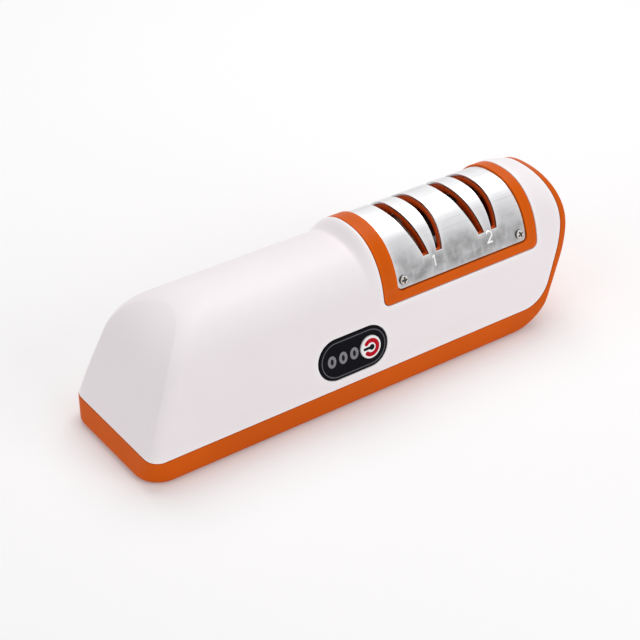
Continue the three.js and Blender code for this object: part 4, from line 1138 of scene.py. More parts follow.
@dataclass(frozen=True)
class Plated:
    """Plated or bare metal: tarnish in patches, fine handling marks."""

    name: str
    colour: Colour
    roughness: float = 0.25
    lines: Sequence[float] = (1.0, 1.0, 1.0)
    stain: Colour = (0.2, 0.18, 0.16)
    stained: float = 0.25
    handling: Marks = Marks(1800.0, 4.0, share=0.15, shade=1.2, matt=0.08)
    tarnish: Marks = Marks(160.0, 4.0, low=0.35, high=0.72, matt=0.15)
    # Painted shade laid in screw recesses and under screw heads.
    soot_share: float = 0.9
    soot_shade: float = 0.25
    relief: float = 0.00001
    strength: float = 0.4

    def material(self) -> bpy.types.Material:
        """Builds the metal's nodes, with painted shade where a screw's recess and side mark it.

        Returns:
            The metal's material.
        """
        bench = Bench.named(self.name)
        handling = replace(self.handling, stretch=self.lines).on(bench)
        tarnish = self.tarnish.on(bench)
        tone = bench.blend(tarnish * self.stained, self.colour, self.stain)
        tone = self.handling.laid(handling, tone, self.colour)
        tone = bench.blend(bench.edge() * self.soot_share, tone, scaled(self.stain, self.soot_shade))
        roughness = self.roughness + self.tarnish.matt * tarnish + self.handling.rougher(handling)
        return bench.surface(Base_Color=tone, Roughness=roughness, Metallic=1.0,
                             Normal=bench.bump(handling, self.relief, self.strength))


@dataclass(frozen=True)
class Glazed:
    """Glossy printed or cast plastic: a clear coat with dust and fingerprints in it."""

    name: str
    colour: Colour
    roughness: float = 0.28
    coat: float = 0.35
    sheen: float = 0.18
    smears: Marks = Marks(120.0, 4.0, (1.0, 0.6, 0.4), low=0.4, high=0.75, share=0.25, shade=1.35,
                          matt=0.14)
    dust: Marks = Marks(2200.0, 3.0, matt=0.05)
    relief: float = 0.000006
    strength: float = 0.5
    coat_roughness: float = 0.12

    def material(self) -> bpy.types.Material:
        """Builds the plastic's nodes.

        Returns:
            The plastic's material.
        """
        bench = Bench.named(self.name)
        smears, dust = self.smears.on(bench), self.dust.on(bench)
        tone = self.smears.laid(smears, self.colour, self.colour)
        roughness = self.roughness + self.smears.matt * smears + self.dust.rougher(dust)
        normal = bench.bump(dust, self.relief, self.strength)
        return bench.surface(Base_Color=tone, Roughness=roughness, Normal=normal, Coat_Weight=self.coat,
                             Coat_Roughness=self.coat_roughness, Specular_IOR_Level=self.sheen)


@dataclass(frozen=True)
class Grained:
    """Rubber, bonded stone or windings: coarse grain with pores and a dry face."""

    name: str
    colour: Colour
    speck: Colour
    grain: float = 1800.0
    relief: float = 0.00008
    roughness: float = 0.88
    stretch: Sequence[float] = (1.0, 1.0, 1.0)
    metallic: float = 0.0
    matt: float = 0.1
    speck_band: Pair = (0.35, 0.7)
    pore_scale: float = 0.35
    pores: Marks = Marks(1.0, 3.0, (1.0, 1.0, 1.0), (0.4, 0.2, 0.6), 0.5, 0.72, 0.4, 0.55, depth=0.7)
    strength: float = 0.7

    def material(self) -> bpy.types.Material:
        """Builds the grain's nodes.

        Returns:
            The grained material.
        """
        bench = Bench.named(self.name)
        grain = bench.noise(self.grain, 5.0, self.stretch)
        pores = replace(self.pores, scale=self.grain * self.pore_scale, stretch=self.stretch).on(bench)
        tone = bench.blend(grain.band(*self.speck_band), self.colour, self.speck)
        tone = self.pores.laid(pores, tone, self.colour)
        height = grain - self.pores.depth * pores
        return bench.surface(Base_Color=tone, Roughness=self.roughness + self.matt * (grain - 0.5),
                             Metallic=self.metallic,
                             Normal=bench.bump(height, self.relief, self.strength))


WHITE_SHELL = Moulded("shell_white", (0.87, 0.812, 0.83), 0.45, 1300.0, 0.000012, 0.012, 0.35, 0.012)
ORANGE_SHELL = Moulded("shell_orange", (0.63, 0.098, 0.001), 0.42, 1500.0, 0.000015, 0.05, 0.1)
INNER_ORANGE = Moulded("slot_orange", (0.66, 0.085, 0.004), 0.6, 1500.0, 0.00002, 0.08, 0.2)
COVER_STEEL = BrushedSteel("cover_steel")
# The figures are a brighter copy of the cover's steel: a painted highlight on the raised figures.
LIT_FIGURE_STEEL = Plated("figure_steel", (0.93, 0.93, 0.94), 0.3, (0.05, 1.0, 1.0), (0.6, 0.6, 0.6), 0.2)
SCREW_CHROME = Plated("screw_chrome", (0.66, 0.64, 0.61), 0.18, stain=(0.12, 0.1, 0.08), stained=0.55)
ZINC = Plated("zinc_plate", (0.6, 0.61, 0.62), 0.32)
PANEL_BLACK = Glazed("panel_black", (0.003, 0.003, 0.005), 0.42, 0.0, 0.06)
LINE_GREY = Glazed("panel_line", (0.12, 0.125, 0.14), 0.4, 0.0, 0.06)
RING_GREY = Glazed("lens_ring", (0.22, 0.215, 0.235), 0.4, 0.0, 0.08)
LENS_DARK = Glazed("lens_core", (0.008, 0.008, 0.012), 0.3, 0.0, 0.1)
BUTTON_WHITE = Moulded("button_white", (0.88, 0.87, 0.87), 0.35, 1500.0, 0.000006, 0.01, dust=0.01)
ICON_RED = Glazed("icon_red", (0.46, 0.003, 0.012), 0.4, 0.0, 0.06)
ICON_BLACK = Glazed("icon_black", (0.004, 0.006, 0.007), 0.4, 0.0, 0.06)
FOOT_RUBBER = Grained("foot_rubber", (0.022, 0.022, 0.024), (0.045, 0.045, 0.047), 1400.0, 0.00004, 0.8)
INNER_BLACK = Moulded("inner_black", (0.03, 0.03, 0.033), 0.55, 900.0, 0.00003, 0.12)
BOARD_GREEN = Glazed("board_green", (0.012, 0.13, 0.045), 0.4, 0.6)
BRONZE = Plated("bearing_bronze", (0.5, 0.33, 0.14), 0.38, stain=(0.12, 0.07, 0.03), stained=0.4)
COPPER = Grained("winding_copper", (0.42, 0.13, 0.04), (0.6, 0.25, 0.1), 900.0, 0.0001, 0.4,
                 (0.05, 1.0, 1.0), 1.0)
FINE_STONE = Grained("fine_stone", (0.6, 0.56, 0.48), (0.75, 0.72, 0.66), 3200.0, 0.00006, 0.9)
COARSE_STONE = Grained("coarse_stone", (0.1, 0.09, 0.085), (0.24, 0.22, 0.2), 1500.0, 0.00015, 0.93)
SLEEVE_BLUE = Glazed("cell_sleeve", (0.02, 0.13, 0.4), 0.3, 0.5)
LEAD_RED = Moulded("lead_red", (0.42, 0.012, 0.01), 0.5, 2000.0, 0.00001, 0.05)
LEAD_BLACK = Moulded("lead_black", (0.018, 0.018, 0.019), 0.55, 2000.0, 0.00001, 0.1)

Finish = Moulded | BrushedSteel | Plated | Glazed | Grained


@lru_cache(maxsize=None)
def material_of(finish: Finish) -> bpy.types.Material:
    """The one material of a finish."""
    return finish.material()


def added(name: str, data: bpy.types.ID) -> bpy.types.Object:
    """A new object in the scene."""
    thing = bpy.data.objects.new(name, data)
    bpy.context.scene.collection.objects.link(thing)
    return thing


def place_piece(name: str, solid: Solid, finish: Finish, body: Body = Body.HOUSING,
                nodes: Sequence[str] = ()) -> bpy.types.Object:
    """Adds a finished piece to the scene.

    Args:
        name: Name of the piece.
        solid: Its surface, in millimetres.
        finish: What it is made of.
        body: The body that it moves with.
        nodes: CAD nodes that it stands for.

    Returns:
        The new object.
    """
    mesh = solid.mesh(name)
    mesh.materials.append(material_of(finish))
    piece = added(name, mesh)
    if nodes:
        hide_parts(*nodes)
    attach(piece, body.value)
    log.info("%s: %d faces, %s, on %s", name, len(mesh.polygons), finish.name, body.value)
    return piece


# Sub-assemblies

@dataclass
class PanelPlane:
    """The plane of the control panel on the drafted front wall."""

    along: float = 97.65
    rise: float = 13.05

    @property
    def origin(self) -> Array:
        """Middle of the panel on the wall's outer face."""
        z = FORM.seam + self.rise
        return np.array([FORM.left + self.along, -float(FORM.half_width(np.array(z))), z])

    @property
    def axes(self) -> Array:
        """The plane's directions as rows: along it, up the wall and out of it."""
        sine, cosine = math.sin(FORM.draft), math.cos(FORM.draft)
        return np.array([[1, 0, 0], [0, sine, cosine], [0, -cosine, sine]])

    def lift(self, points: Array) -> Array:
        """Points given as (along, up the wall, out of it) in the housing's frame."""
        return self.origin + points @ self.axes

    def flat(self, points: Array) -> Array:
        """The reverse of lift."""
        return (points - self.origin) @ self.axes.T

    def carried(self, solid: Solid, along: float, out: float) -> Solid:
        """A flat piece carried to the wall, its own origin at a place along the plane and out of it."""
        return solid.moved(lambda points: self.lift(points + [along, 0, out])).outward()


@dataclass
class Saddle:
    """The orange frame over the head, the ledge under its steel cover and the guide ribs."""

    start: float = 115.1
    length: float = 81.8
    bottom: float = 26.6
    radius: float = 3.0
    seat_start: float = 123.0
    seat_length: float = 68.2
    seat_bottom: float = 31.3
    seat_radius: float = 2.0
    seat_depth: float = 2.1
    thickness: float = 3.9
    pair_start: float = 143.0
    pair_pitch: float = 29.3
    tilt: float = math.radians(12.5)
    slot_floor: float = 40.6
    slot_spread: float = 3.4
    slot_low_width: float = 3.0
    slot_high_width: float = 4.9
    pair_lean: float = math.radians(2.7)
    rib_drop: float = 5.0
    rib_reach: float = 19.0
    rib_gap: float = 4.6
    rib_bite: float = 0.6
    rib_least: float = 0.5
    rib_cells: tuple[int, int, int] = (24, 10, 4)
    wheel_room: float = 19.2
    axis: float = 39.0
    rim: float = 0.35
    frame_grid: tuple[int, int] = (91, 141)
    ledge_grid: tuple[int, int] = (141, 151)
    ledge_rim: float = 0.15
    ledge_rim_rows: int = 2
    ledge_inset: float = 1.5
    past_bottom: float = 1.0
    inside: Spot = (50.0, 0.0, 20.0)

    @property
    def pairs(self) -> Pair:
        """X of the middles of the two slot pairs."""
        first = FORM.left + self.pair_start
        return first, first + self.pair_pitch

    @property
    def outline(self) -> TallWindow:
        """Outline of the frame."""
        left = FORM.left + self.start
        return TallWindow(left, left + self.length, FORM.seam + self.bottom, self.radius)

    @property
    def seat(self) -> TallWindow:
        """Outline of the cover's seat in the frame."""
        left = FORM.left + self.seat_start
        return TallWindow(left, left + self.seat_length, FORM.seam + self.seat_bottom, self.seat_radius)

    def slot_sides(self, hand: Hand, rise: Array) -> tuple[Array, Array]:
        """The two sides of a slot at a height over its floor, from the middle of its pair.

        Args:
            hand: The left or the right slot of the pair.
            rise: Height over the slot's floor.

        Returns:
            X of the slot's left and right sides.
        """
        share = rise / (FORM.head_rise - self.slot_floor)
        half = (self.slot_low_width + (self.slot_high_width - self.slot_low_width) * share) / 2
        lean = self.tilt - hand.value * self.pair_lean
        middle = hand.value * (self.slot_spread + rise * math.tan(lean))
        return middle - half, middle + half

    def slot_distance(self, points: Array) -> Array:
        """Distance to the nearest blade slot, the largest of those to its floor and its two sides.

        Args:
            points: Points over the frame.

        Returns:
            The distance, above zero outside the slots.
        """
        x, z = points[..., 0], points[..., 2]
        rise = z - (FORM.seam + self.slot_floor)
        nearest = np.full(x.shape, np.inf)
        for pair in self.pairs:
            for hand in Hand:
                left, right = self.slot_sides(hand, rise)
                across = np.maximum(pair + left - x, x - pair - right) * math.cos(self.tilt)
                nearest = np.minimum(nearest, np.maximum(across, -rise))
        return nearest

    def grid(self, depth: float, counts: tuple[int, int], low: float) -> Array:
        """Points over the frame at a depth, from a height on the front to the same on the back."""
        v0 = float(FORM.wall_share(low))
        x = np.linspace(self.outline.left, self.outline.right, counts[0])
        return FORM.head_skin(x, np.linspace(v0, 1 - v0, counts[1]), depth)

    def frame(self) -> Solid:
        """The frame flush with the head: its outline less the cover's seat."""
        points = self.grid(0.0, self.frame_grid, self.outline.bottom - self.past_bottom)
        inset = FORM.gap + self.rim
        cut = inset + np.maximum(self.outline.distance(points), -self.seat.distance(points))
        return skin([Patch(points, cut)], self.thickness, self.rim, self.inside)

    def ledge(self) -> Solid:
        """The ledge under the cover, pierced by the slots.

        Returns:
            The closed ledge.
        """
        points = self.grid(self.seat_depth, self.ledge_grid, self.outline.bottom - self.past_bottom)
        slots = self.ledge_rim - self.slot_distance(points)
        cut = np.maximum(self.outline.distance(points) + self.ledge_inset, slots)
        wall = self.thickness - self.seat_depth
        return skin([Patch(points, cut)], wall, self.ledge_rim, self.inside, self.ledge_rim_rows)

    def rib(self, pair: float, side: Side) -> Solid:
        """A guide rib between the two slots of a pair, between the wheels' room and the ledge.

        Over a place a across the head, the rib reaches from the larger of its floor and the wheels'
        circle z = axis + sqrt(r^2 - y^2) up into the ledge, and is as wide as the slots leave it.

        Args:
            pair: X of the middle of the slot pair.
            side: The long side that the rib lies on.

        Returns:
            The closed rib.
        """
        _, y_skin, z_skin = FORM.front_half(self.thickness - self.rib_bite)
        low = FORM.seam + self.slot_floor - self.rib_drop

        def shape(a: Array, b: Array, c: Array) -> Array:
            """Carries shares into the rib.

            Args:
                a: Share of the head's width.
                b: Share of the height.
                c: Share from the left slot to the right.

            Returns:
                Points of the rib.
            """
            y = self.rib_gap + (self.rib_reach - self.rib_gap) * a
            top = np.interp(y, -y_skin[::-1], z_skin[::-1])
            room = self.axis + np.sqrt(np.maximum(self.wheel_room ** 2 - y ** 2, 0.0))
            foot = np.minimum(np.maximum(low, room), top - self.rib_least)
            z = foot + (top - foot) * b
            rise = np.maximum(z - FORM.seam - self.slot_floor, 0.0)
            left = self.slot_sides(Hand.LEFT, rise)[1]
            right = self.slot_sides(Hand.RIGHT, rise)[0]
            return points_of(pair + left + (right - left) * c, side.value * y, z)

        return warped_box(shape, self.rib_cells)

    def dress(self) -> None:
        """Adds the frame with its ledge and ribs."""
        parts = {"saddle_rim": (self.frame(), ORANGE_SHELL),
                 "saddle_ledge": (self.ledge(), INNER_ORANGE)}
        for number, pair in enumerate(self.pairs, 1):
            for side in Side:
                name = f"guide_rib_{number}_{side.name.lower()}"
                parts[name] = self.rib(pair, side), INNER_ORANGE
        for name, (solid, finish) in parts.items():
            place_piece(name, solid, finish, nodes=["saddle_frame"])


@dataclass
class Cover:
    """The steel cover with its pressed figures and screws."""

    saddle: Saddle
    recess: float = 0.8
    thickness: float = 1.0
    rim: float = 0.16
    figure_height: float = 4.7
    figure_width: float = 2.8
    figure_stroke: float = 0.42
    figure_relief: float = 0.42
    figure_rises: Pair = (37.4, 38.3)
    figure_gap: float = 0.1
    flag_reach: Pair = (0.7, 0.55)
    bow_angles: Pair = (165.0, -35.0)
    bow_points: int = 24
    screw_inset: float = 3.2
    screw_rise: float = 3.4
    screw_lift: float = 0.15
    screw_turns: Pair = (0.5, 1.1)
    sheet_grid: tuple[int, int] = (241, 221)
    rim_rows: int = 3
    past_bottom: float = 1.5

    def sheet(self) -> Solid:
        """The bent sheet, cut by the slots and rounded at its lower corners."""
        seat = self.saddle.seat
        points = self.saddle.grid(self.recess, self.sheet_grid, seat.bottom - self.past_bottom)
        cut = self.rim + np.maximum(seat.distance(points), -self.saddle.slot_distance(points))
        return skin([Patch(points, cut)], self.thickness, self.rim, self.saddle.inside, self.rim_rows)

    def figure(self, number: int, pair: float, rise: float) -> Solid:
        """A pressed figure, 1 or 2, on the front of the cover.

        Args:
            number: The figure.
            pair: X of the middle of its slot pair.
            rise: Height of the figure's middle over the seam.

        Returns:
            The bead of the figure, bent over the cover.
        """
        half, wide = self.figure_height / 2, self.figure_width / 2
        if number == 1:
            flag_x, flag_z = self.flag_reach
            path = np.array([[-wide * flag_x, half * flag_z], [0.0, half], [0.0, -half]])
        else:
            angle = np.radians(np.linspace(*self.bow_angles, self.bow_points))
            bow = points_of(*polar(wide, angle)) + [0.0, half - wide]
            path = np.concatenate([bow, [[-wide, -half], [wide, -half]]])
        bead = ridge(respaced(path, self.figure_gap), self.figure_stroke, self.figure_relief)
        v, y, z = FORM.front_half(self.recess)
        run = run_along(points_of(y, z))
        out_y, out_z = FORM.section_normal(v, FORM.head_top)
        middle = np.interp(FORM.seam + rise, z, run)

        def wrap(points: Array) -> Array:
            """Carries flat points (along, up, out) onto the bent cover."""
            place, out = middle + points[:, 1], points[:, 2]
            bent_y = np.interp(place, run, y) + out * np.interp(place, run, out_y)
            bent_z = np.interp(place, run, z) + out * np.interp(place, run, out_z)
            return points_of(pair + points[:, 0], bent_y, bent_z)

        return bead.moved(wrap).outward()

    def screw_places(self) -> list[tuple[float, Side]]:
        """X and side of the four screws, in the order of their nodes."""
        seat = self.saddle.seat
        ends = (seat.left + self.screw_inset, seat.right - self.screw_inset)
        return [(x, side) for side in Side for x in ends]

    def dress(self) -> None:
        """Adds the sheet, its figures and its screws."""
        place_piece("cover_sheet", self.sheet(), COVER_STEEL, nodes=["slot_cover_plate"])
        for number, (pair, rise) in enumerate(zip(self.saddle.pairs, self.figure_rises), 1):
            figure = self.figure(number, pair, rise)
            place_piece(f"pressed_figure_{number}", figure, LIT_FIGURE_STEEL)
        v = np.array(FORM.front_place(self.saddle.seat.bottom + self.screw_rise, self.recess))
        y, z = (float(value) for value in FORM.section(v, FORM.head_top, self.recess))
        out_y, out_z = (float(value) for value in FORM.section_normal(v, FORM.head_top))
        screw = Screw(head=2.0, rise=1.0, shank=1.1, length=4.4)
        first, more = self.screw_turns
        for number, (x, side) in enumerate(self.screw_places(), 1):
            origin = np.array([x, -side.value * y, z])
            normal = np.array([0.0, -side.value * out_y, out_z])
            solid = screw.solid(origin, normal, first + more * number, self.screw_lift)
            place_piece(f"cover_screw_head_{number}", solid, SCREW_CHROME,
                        nodes=[f"cover_screw_{number}"])


@dataclass(frozen=True)
class Screw:
    """A pan-head screw with a cross recess."""

    head: float
    rise: float
    shank: float
    length: float
    arm: float = 0.34
    arm_reach: float = 0.66
    sink: float = 0.62
    soft: float = 0.09
    doming: float = 0.45
    brow: Pair = (0.965, 0.58)
    cheek: float = 0.42
    soot_from: float = 0.5
    top_reach: float = 0.96
    top_rows: int = 34
    sides: int = 112

    def solid(self, origin: Array, normal: Array, turn: float, lift: float) -> Solid:
        """The screw on a surface.

        The head's top is h (1 - k (r / R)^4) less the recess, whose depth falls off softly at the
        sides and ends of two crossed arms. Side, underside and shank follow in the same grid.

        Args:
            origin: Point of the surface under the head.
            normal: Direction out of the surface.
            turn: Angle of the recess.
            lift: Height of the head's underside over the surface.

        Returns:
            The closed screw.
        """
        radius = np.linspace(0.0, self.head * self.top_reach, self.top_rows)[:, None]
        angle = full_turn(self.sides)[None, :]
        a, b = (np.abs(part) / self.head for part in polar(radius, angle + turn))
        in_arm = smoothstep(-self.soft, self.soft, self.arm / 2 - np.minimum(a, b))
        in_reach = smoothstep(-self.soft, self.soft, self.arm_reach - np.maximum(a, b))
        cross = in_arm * in_reach
        dome = self.rise * (1 - self.doming * (radius / self.head) ** 4)
        top = points_of(*polar(radius, angle), dome - self.sink * self.rise * cross)
        brow_reach, brow_rise = self.brow
        knees = [(self.head * brow_reach, self.rise * brow_rise), (self.head, self.rise * self.cheek),
                 (self.head, 0.0), (self.shank, 0.0), (self.shank, -self.length + self.shank),
                 (0.0, -self.length)]
        side = softened(knees, radius=0.12, steps=3)
        height = side[:, 1:] + 0 * angle
        grid = np.concatenate([top, points_of(*polar(side[:, :1], angle), height)])
        # Painted shade mask: the cross recess, and the lower side, underside and shank of the screw.
        recess_shade = np.concatenate([cross, np.where(height < self.rise * self.soot_from, 1.0, 0.0)])
        faces = grid_faces(*grid.shape[:2], loop_columns=True)
        body = Solid(grid.reshape(-1, 3), faces, None, recess_shade.ravel()).welded()
        up = unit(np.asarray(normal, float))
        first = np.array([1.0, 0.0, 0.0])
        axes = np.stack([first, np.cross(up, first), up])
        return body.moved(lambda points: origin + (points + [0, 0, lift]) @ axes).outward()


@dataclass
class ControlPanel:
    """The black panel with its line, lamps and power button."""

    plane: PanelPlane
    length: float = 33.7
    width: float = 17.4
    proud: float = 0.3
    depth: float = 3.4
    line_inset: float = 1.25
    line_width: float = 0.2
    button_along: float = 8.25
    button_radius: float = 4.95
    button_proud: float = 1.0
    button_foot: float = -7.0
    lamp_pitch: float = 5.5
    lamp_middle: float = -5.3
    lamp_size: Pair = (4.1, 5.3)
    lamp_count: int = 3
    lamp_band: float = 0.66
    lamp_inset: float = 1.2
    lamp_lift: float = 0.02
    lamp_sides: int = 72
    ring_rise: float = 0.22
    rim: float = 0.3
    clearance: float = 0.25
    margin: float = 0.5
    counts: tuple[int, int] = (151, 91)
    behind: float = 40.0
    line_points: int = 220
    line_rise: float = 0.05
    flange: float = 0.9
    flange_drop: float = 3.6
    stem: float = 1.5
    button_sides: int = 96
    icon_outer: float = 3.95
    icon_inner: float = 2.1
    icon_gap: float = 52.0
    icon_rise: float = 0.07
    icon_points: int = 120
    stem_start: float = 0.3
    stem_half: float = 0.62
    dot_sides: int = 48

    def lamp_places(self) -> list[float]:
        """Places of the lamps along the panel."""
        first = self.lamp_middle - self.lamp_pitch * (self.lamp_count - 1) / 2
        return [first + self.lamp_pitch * k for k in range(self.lamp_count)]

    def plate(self) -> Solid:
        """The panel: a stadium pierced for the button and the lamps.

        Returns:
            The closed plate.
        """
        a, b = (np.linspace(-size / 2 - self.margin, size / 2 + self.margin, count)
                for size, count in zip((self.length, self.width), self.counts))
        a, b = np.meshgrid(a, b, indexing="ij")
        inside = stadium(a, b, self.length, self.width) + self.rim
        hole = self.button_radius + self.clearance + self.rim / 2
        cut = np.maximum(inside, hole - np.hypot(a - self.button_along, b))
        wide, high = (size / 2 for size in self.lamp_size)
        for place in self.lamp_places():
            out = np.hypot((a - place) / (wide + self.clearance), b / (high + self.clearance))
            cut = np.maximum(cut, (1 - out) * wide)
        points = self.plane.lift(points_of(a, b, self.proud))
        centre = self.plane.origin + [0.0, self.behind, 0.0]
        return skin([Patch(points, cut)], self.depth, self.rim, centre)

    def line(self) -> Solid:
        """The thin line that runs round inside the panel's edge."""
        length, width = (size - 2 * self.line_inset for size in (self.length, self.width))
        path = stadium_path(length, width, self.line_points)
        bead = ridge(path, self.line_width, self.line_rise, closed=True, sides=8)
        return self.plane.carried(bead, 0.0, self.proud)

    def lamp(self, place: float) -> tuple[Solid, Solid]:
        """A lamp as its grey ring and its domed core.

        Args:
            place: The lamp's place along the panel.

        Returns:
            The ring and the core.
        """
        half = np.array(self.lamp_size) / 2
        band = self.lamp_band
        path = points_of(*polar(1.0, full_turn(self.lamp_sides))) * (half - band)
        ring = ridge(path, band, self.ring_rise, closed=True)
        profile = softened([(0.0, 0.0), (0.9, -0.12), (1.0, -0.4), (1.0, -2.2), (0.0, -2.2)], 0.1)
        size = np.array([*(half - band * self.lamp_inset), 1.0])
        core = turned(profile, self.lamp_sides).moved(lambda points: points * size)
        out = self.proud + self.lamp_lift
        return self.plane.carried(ring, place, out), self.plane.carried(core, place, out)

    def button(self) -> Solid:
        """The button's cap with a soft edge, its flange and stem.

        Returns:
            The closed cap.
        """
        radius, face = self.button_radius, self.button_proud
        wide, top = radius + self.flange, self.proud - self.flange_drop
        under, foot = top - self.flange, self.button_foot + self.flange
        profile = softened([(0.0, face), (radius * 0.75, face), (radius, face - 0.2), (radius, top),
                            (wide, top), (wide, under), (self.stem, under), (self.stem, foot),
                            (0.0, foot)], radius=0.35, steps=6)
        return self.plane.carried(turned(profile, self.button_sides), self.button_along, 0.0)

    def icon(self) -> tuple[Solid, Solid]:
        """The power sign: an open ring and a stem with a round end.

        Returns:
            The ring and the stem.
        """
        middle = (self.icon_outer + self.icon_inner) / 2
        half = (self.icon_outer - self.icon_inner) / 2
        gap = math.radians(self.icon_gap) / 2
        angle = np.linspace(math.pi + gap, 3 * math.pi - gap, self.icon_points)
        ring = ridge(points_of(*polar(middle, angle)), half, self.icon_rise)
        path = respaced(np.array([[self.stem_start, 0.0], [-self.icon_outer, 0.0]]), 0.1)
        stem = ridge(path, self.stem_half, self.icon_rise)
        profile = softened([(0.0, 0.09), (1.2, 0.07), (1.3, -0.05), (0.0, -0.05)], 0.08)
        dot = turned(profile, self.dot_sides).moved(lambda points: points + [self.stem_start, 0, 0])
        ring, stem, dot = (self.plane.carried(part, self.button_along, self.button_proud)
                           for part in (ring, stem, dot))
        return ring, Solid.joined([stem, dot])

    def dress(self) -> None:
        """Adds the panel, its line, its lamps and the button with its sign."""
        place_piece("panel_plate", self.plate(), PANEL_BLACK, nodes=["control_panel"])
        place_piece("panel_line", self.line(), LINE_GREY)
        for number, place in enumerate(self.lamp_places(), 1):
            ring, core = self.lamp(place)
            nodes = [f"indicator_lens_{number}"]
            place_piece(f"lamp_ring_{number}", ring, RING_GREY, nodes=nodes)
            place_piece(f"lamp_core_{number}", core, LENS_DARK, nodes=nodes)
        place_piece("button_cap", self.button(), BUTTON_WHITE, Body.BUTTON,
                    ["power_button"])
        ring, stem = self.icon()
        place_piece("power_ring", ring, ICON_RED, Body.BUTTON)
        place_piece("power_stem", stem, ICON_BLACK, Body.BUTTON)


@dataclass
class UpperHousing:
    """The white shell: leaning left end, handle, neck and head, open at saddle, panel and right end."""

    saddle: Saddle
    panel: ControlPanel
    wall: float = 1.0
    rim: float = 0.4
    across: int = 141
    corner_rows: int = 12
    handle_rows: int = 72
    neck_rows: int = 14
    head_rows: int = 84
    face_columns: int = 48
    past_end: float = 1.0
    rim_rows: int = 5
    inside: Spot = (0.0, 0.0, 25.0)

    @property
    def foot(self) -> float:
        """Place across the section of the shell's free lower edge."""
        return float(FORM.wall_share(FORM.seam + FORM.gap + self.rim))

    def body_points(self) -> Array:
        """Rows of the shell from its left corner to past its right end.

        In the corner x is the end's place at that height plus the corner's run, and the section is
        narrower by the corner's inset on each side and lower in proportion. The handle runs straight
        from there to the neck, where the crown rises by a soft step.

        Returns:
            The grid of points.
        """
        v = np.linspace(self.foot, 1 - self.foot, self.across)
        tight = np.linspace(0.0, FORM.crease_turn, self.corner_rows // 2 + 1)
        wide = np.linspace(FORM.crease_turn, math.pi / 2, self.corner_rows + 1)
        turn = np.concatenate([tight[:-1], wide])[:, None]
        y, z = FORM.section(v, FORM.handle_top)
        run, inset = FORM.corner_at(turn, z - FORM.seam)
        drop = FORM.shoulder_drop * inset / (FORM.corner * FORM.handle_rise)
        z_corner = FORM.seam + (z - FORM.seam) * (1 - drop)
        y_corner = y * (1 - 2 * inset / FORM.seam_width)
        corner = points_of(FORM.end_x(z_corner) + run, y_corner, z_corner)
        neck_x, last_x = FORM.left + FORM.neck_start, corner[-1, :, 0]
        share = shares(self.handle_rows)[1:, None]
        handle = points_of(last_x + (neck_x - last_x) * share, y, z)
        share = shares(self.neck_rows)[1:, None]
        top = FORM.handle_top + (FORM.head_top - FORM.handle_top) * smoothstep(0.0, 1.0, share)
        neck = points_of(neck_x + FORM.neck_run * share, *FORM.section(v, top))
        start, end = neck_x + FORM.neck_run, FORM.right + self.past_end
        step = (end - start) / self.head_rows
        head = FORM.head_skin(np.linspace(start + step, end, self.head_rows), v, 0.0)
        return np.concatenate([corner, handle, neck, head])

    def face_points(self, ring: Array) -> Array:
        """The leaning left face: the first ring's front half swept across to its mirror image.

        Args:
            ring: The shell's first row of points.

        Returns:
            The grid of points.
        """
        half = ring[: self.across // 2 + 1]
        share = np.linspace(-1.0, 1.0, self.face_columns + 1)
        return points_of(half[:, :1], -half[:, 1:2] * share, half[:, 2:])

    def solid(self) -> Solid:
        """The shell with its openings and rolled rims.

        Returns:
            The closed shell.
        """
        points = self.body_points()
        window = self.rim - self.saddle.outline.distance(points)
        flat = self.panel.plane.flat(points)
        wide, high = self.panel.length + 2 * FORM.gap, self.panel.width + 2 * FORM.gap
        hole = stadium(flat[..., 0], flat[..., 1], wide, high)
        hole = np.where(points[..., 1] < 0, self.rim - hole, FAR_FROM_OPENINGS)
        end = FORM.seam_end.distance(points[..., 0], points[..., 2]) + FORM.gap + self.rim
        body = Patch(points, np.maximum.reduce([window, hole, end]))
        face = Patch(self.face_points(points[0]))
        return skin([body, face], self.wall, self.rim, self.inside, self.rim_rows)

    def dress(self) -> None:
        """Adds the shell."""
        place_piece("white_shell", self.solid(), WHITE_SHELL, nodes=["upper_housing"])


@dataclass(frozen=True)
class FrontLine:
    """A line along the base's front, as X, section place and direction out in the side view."""

    x: Array
    v: Array
    out: Array


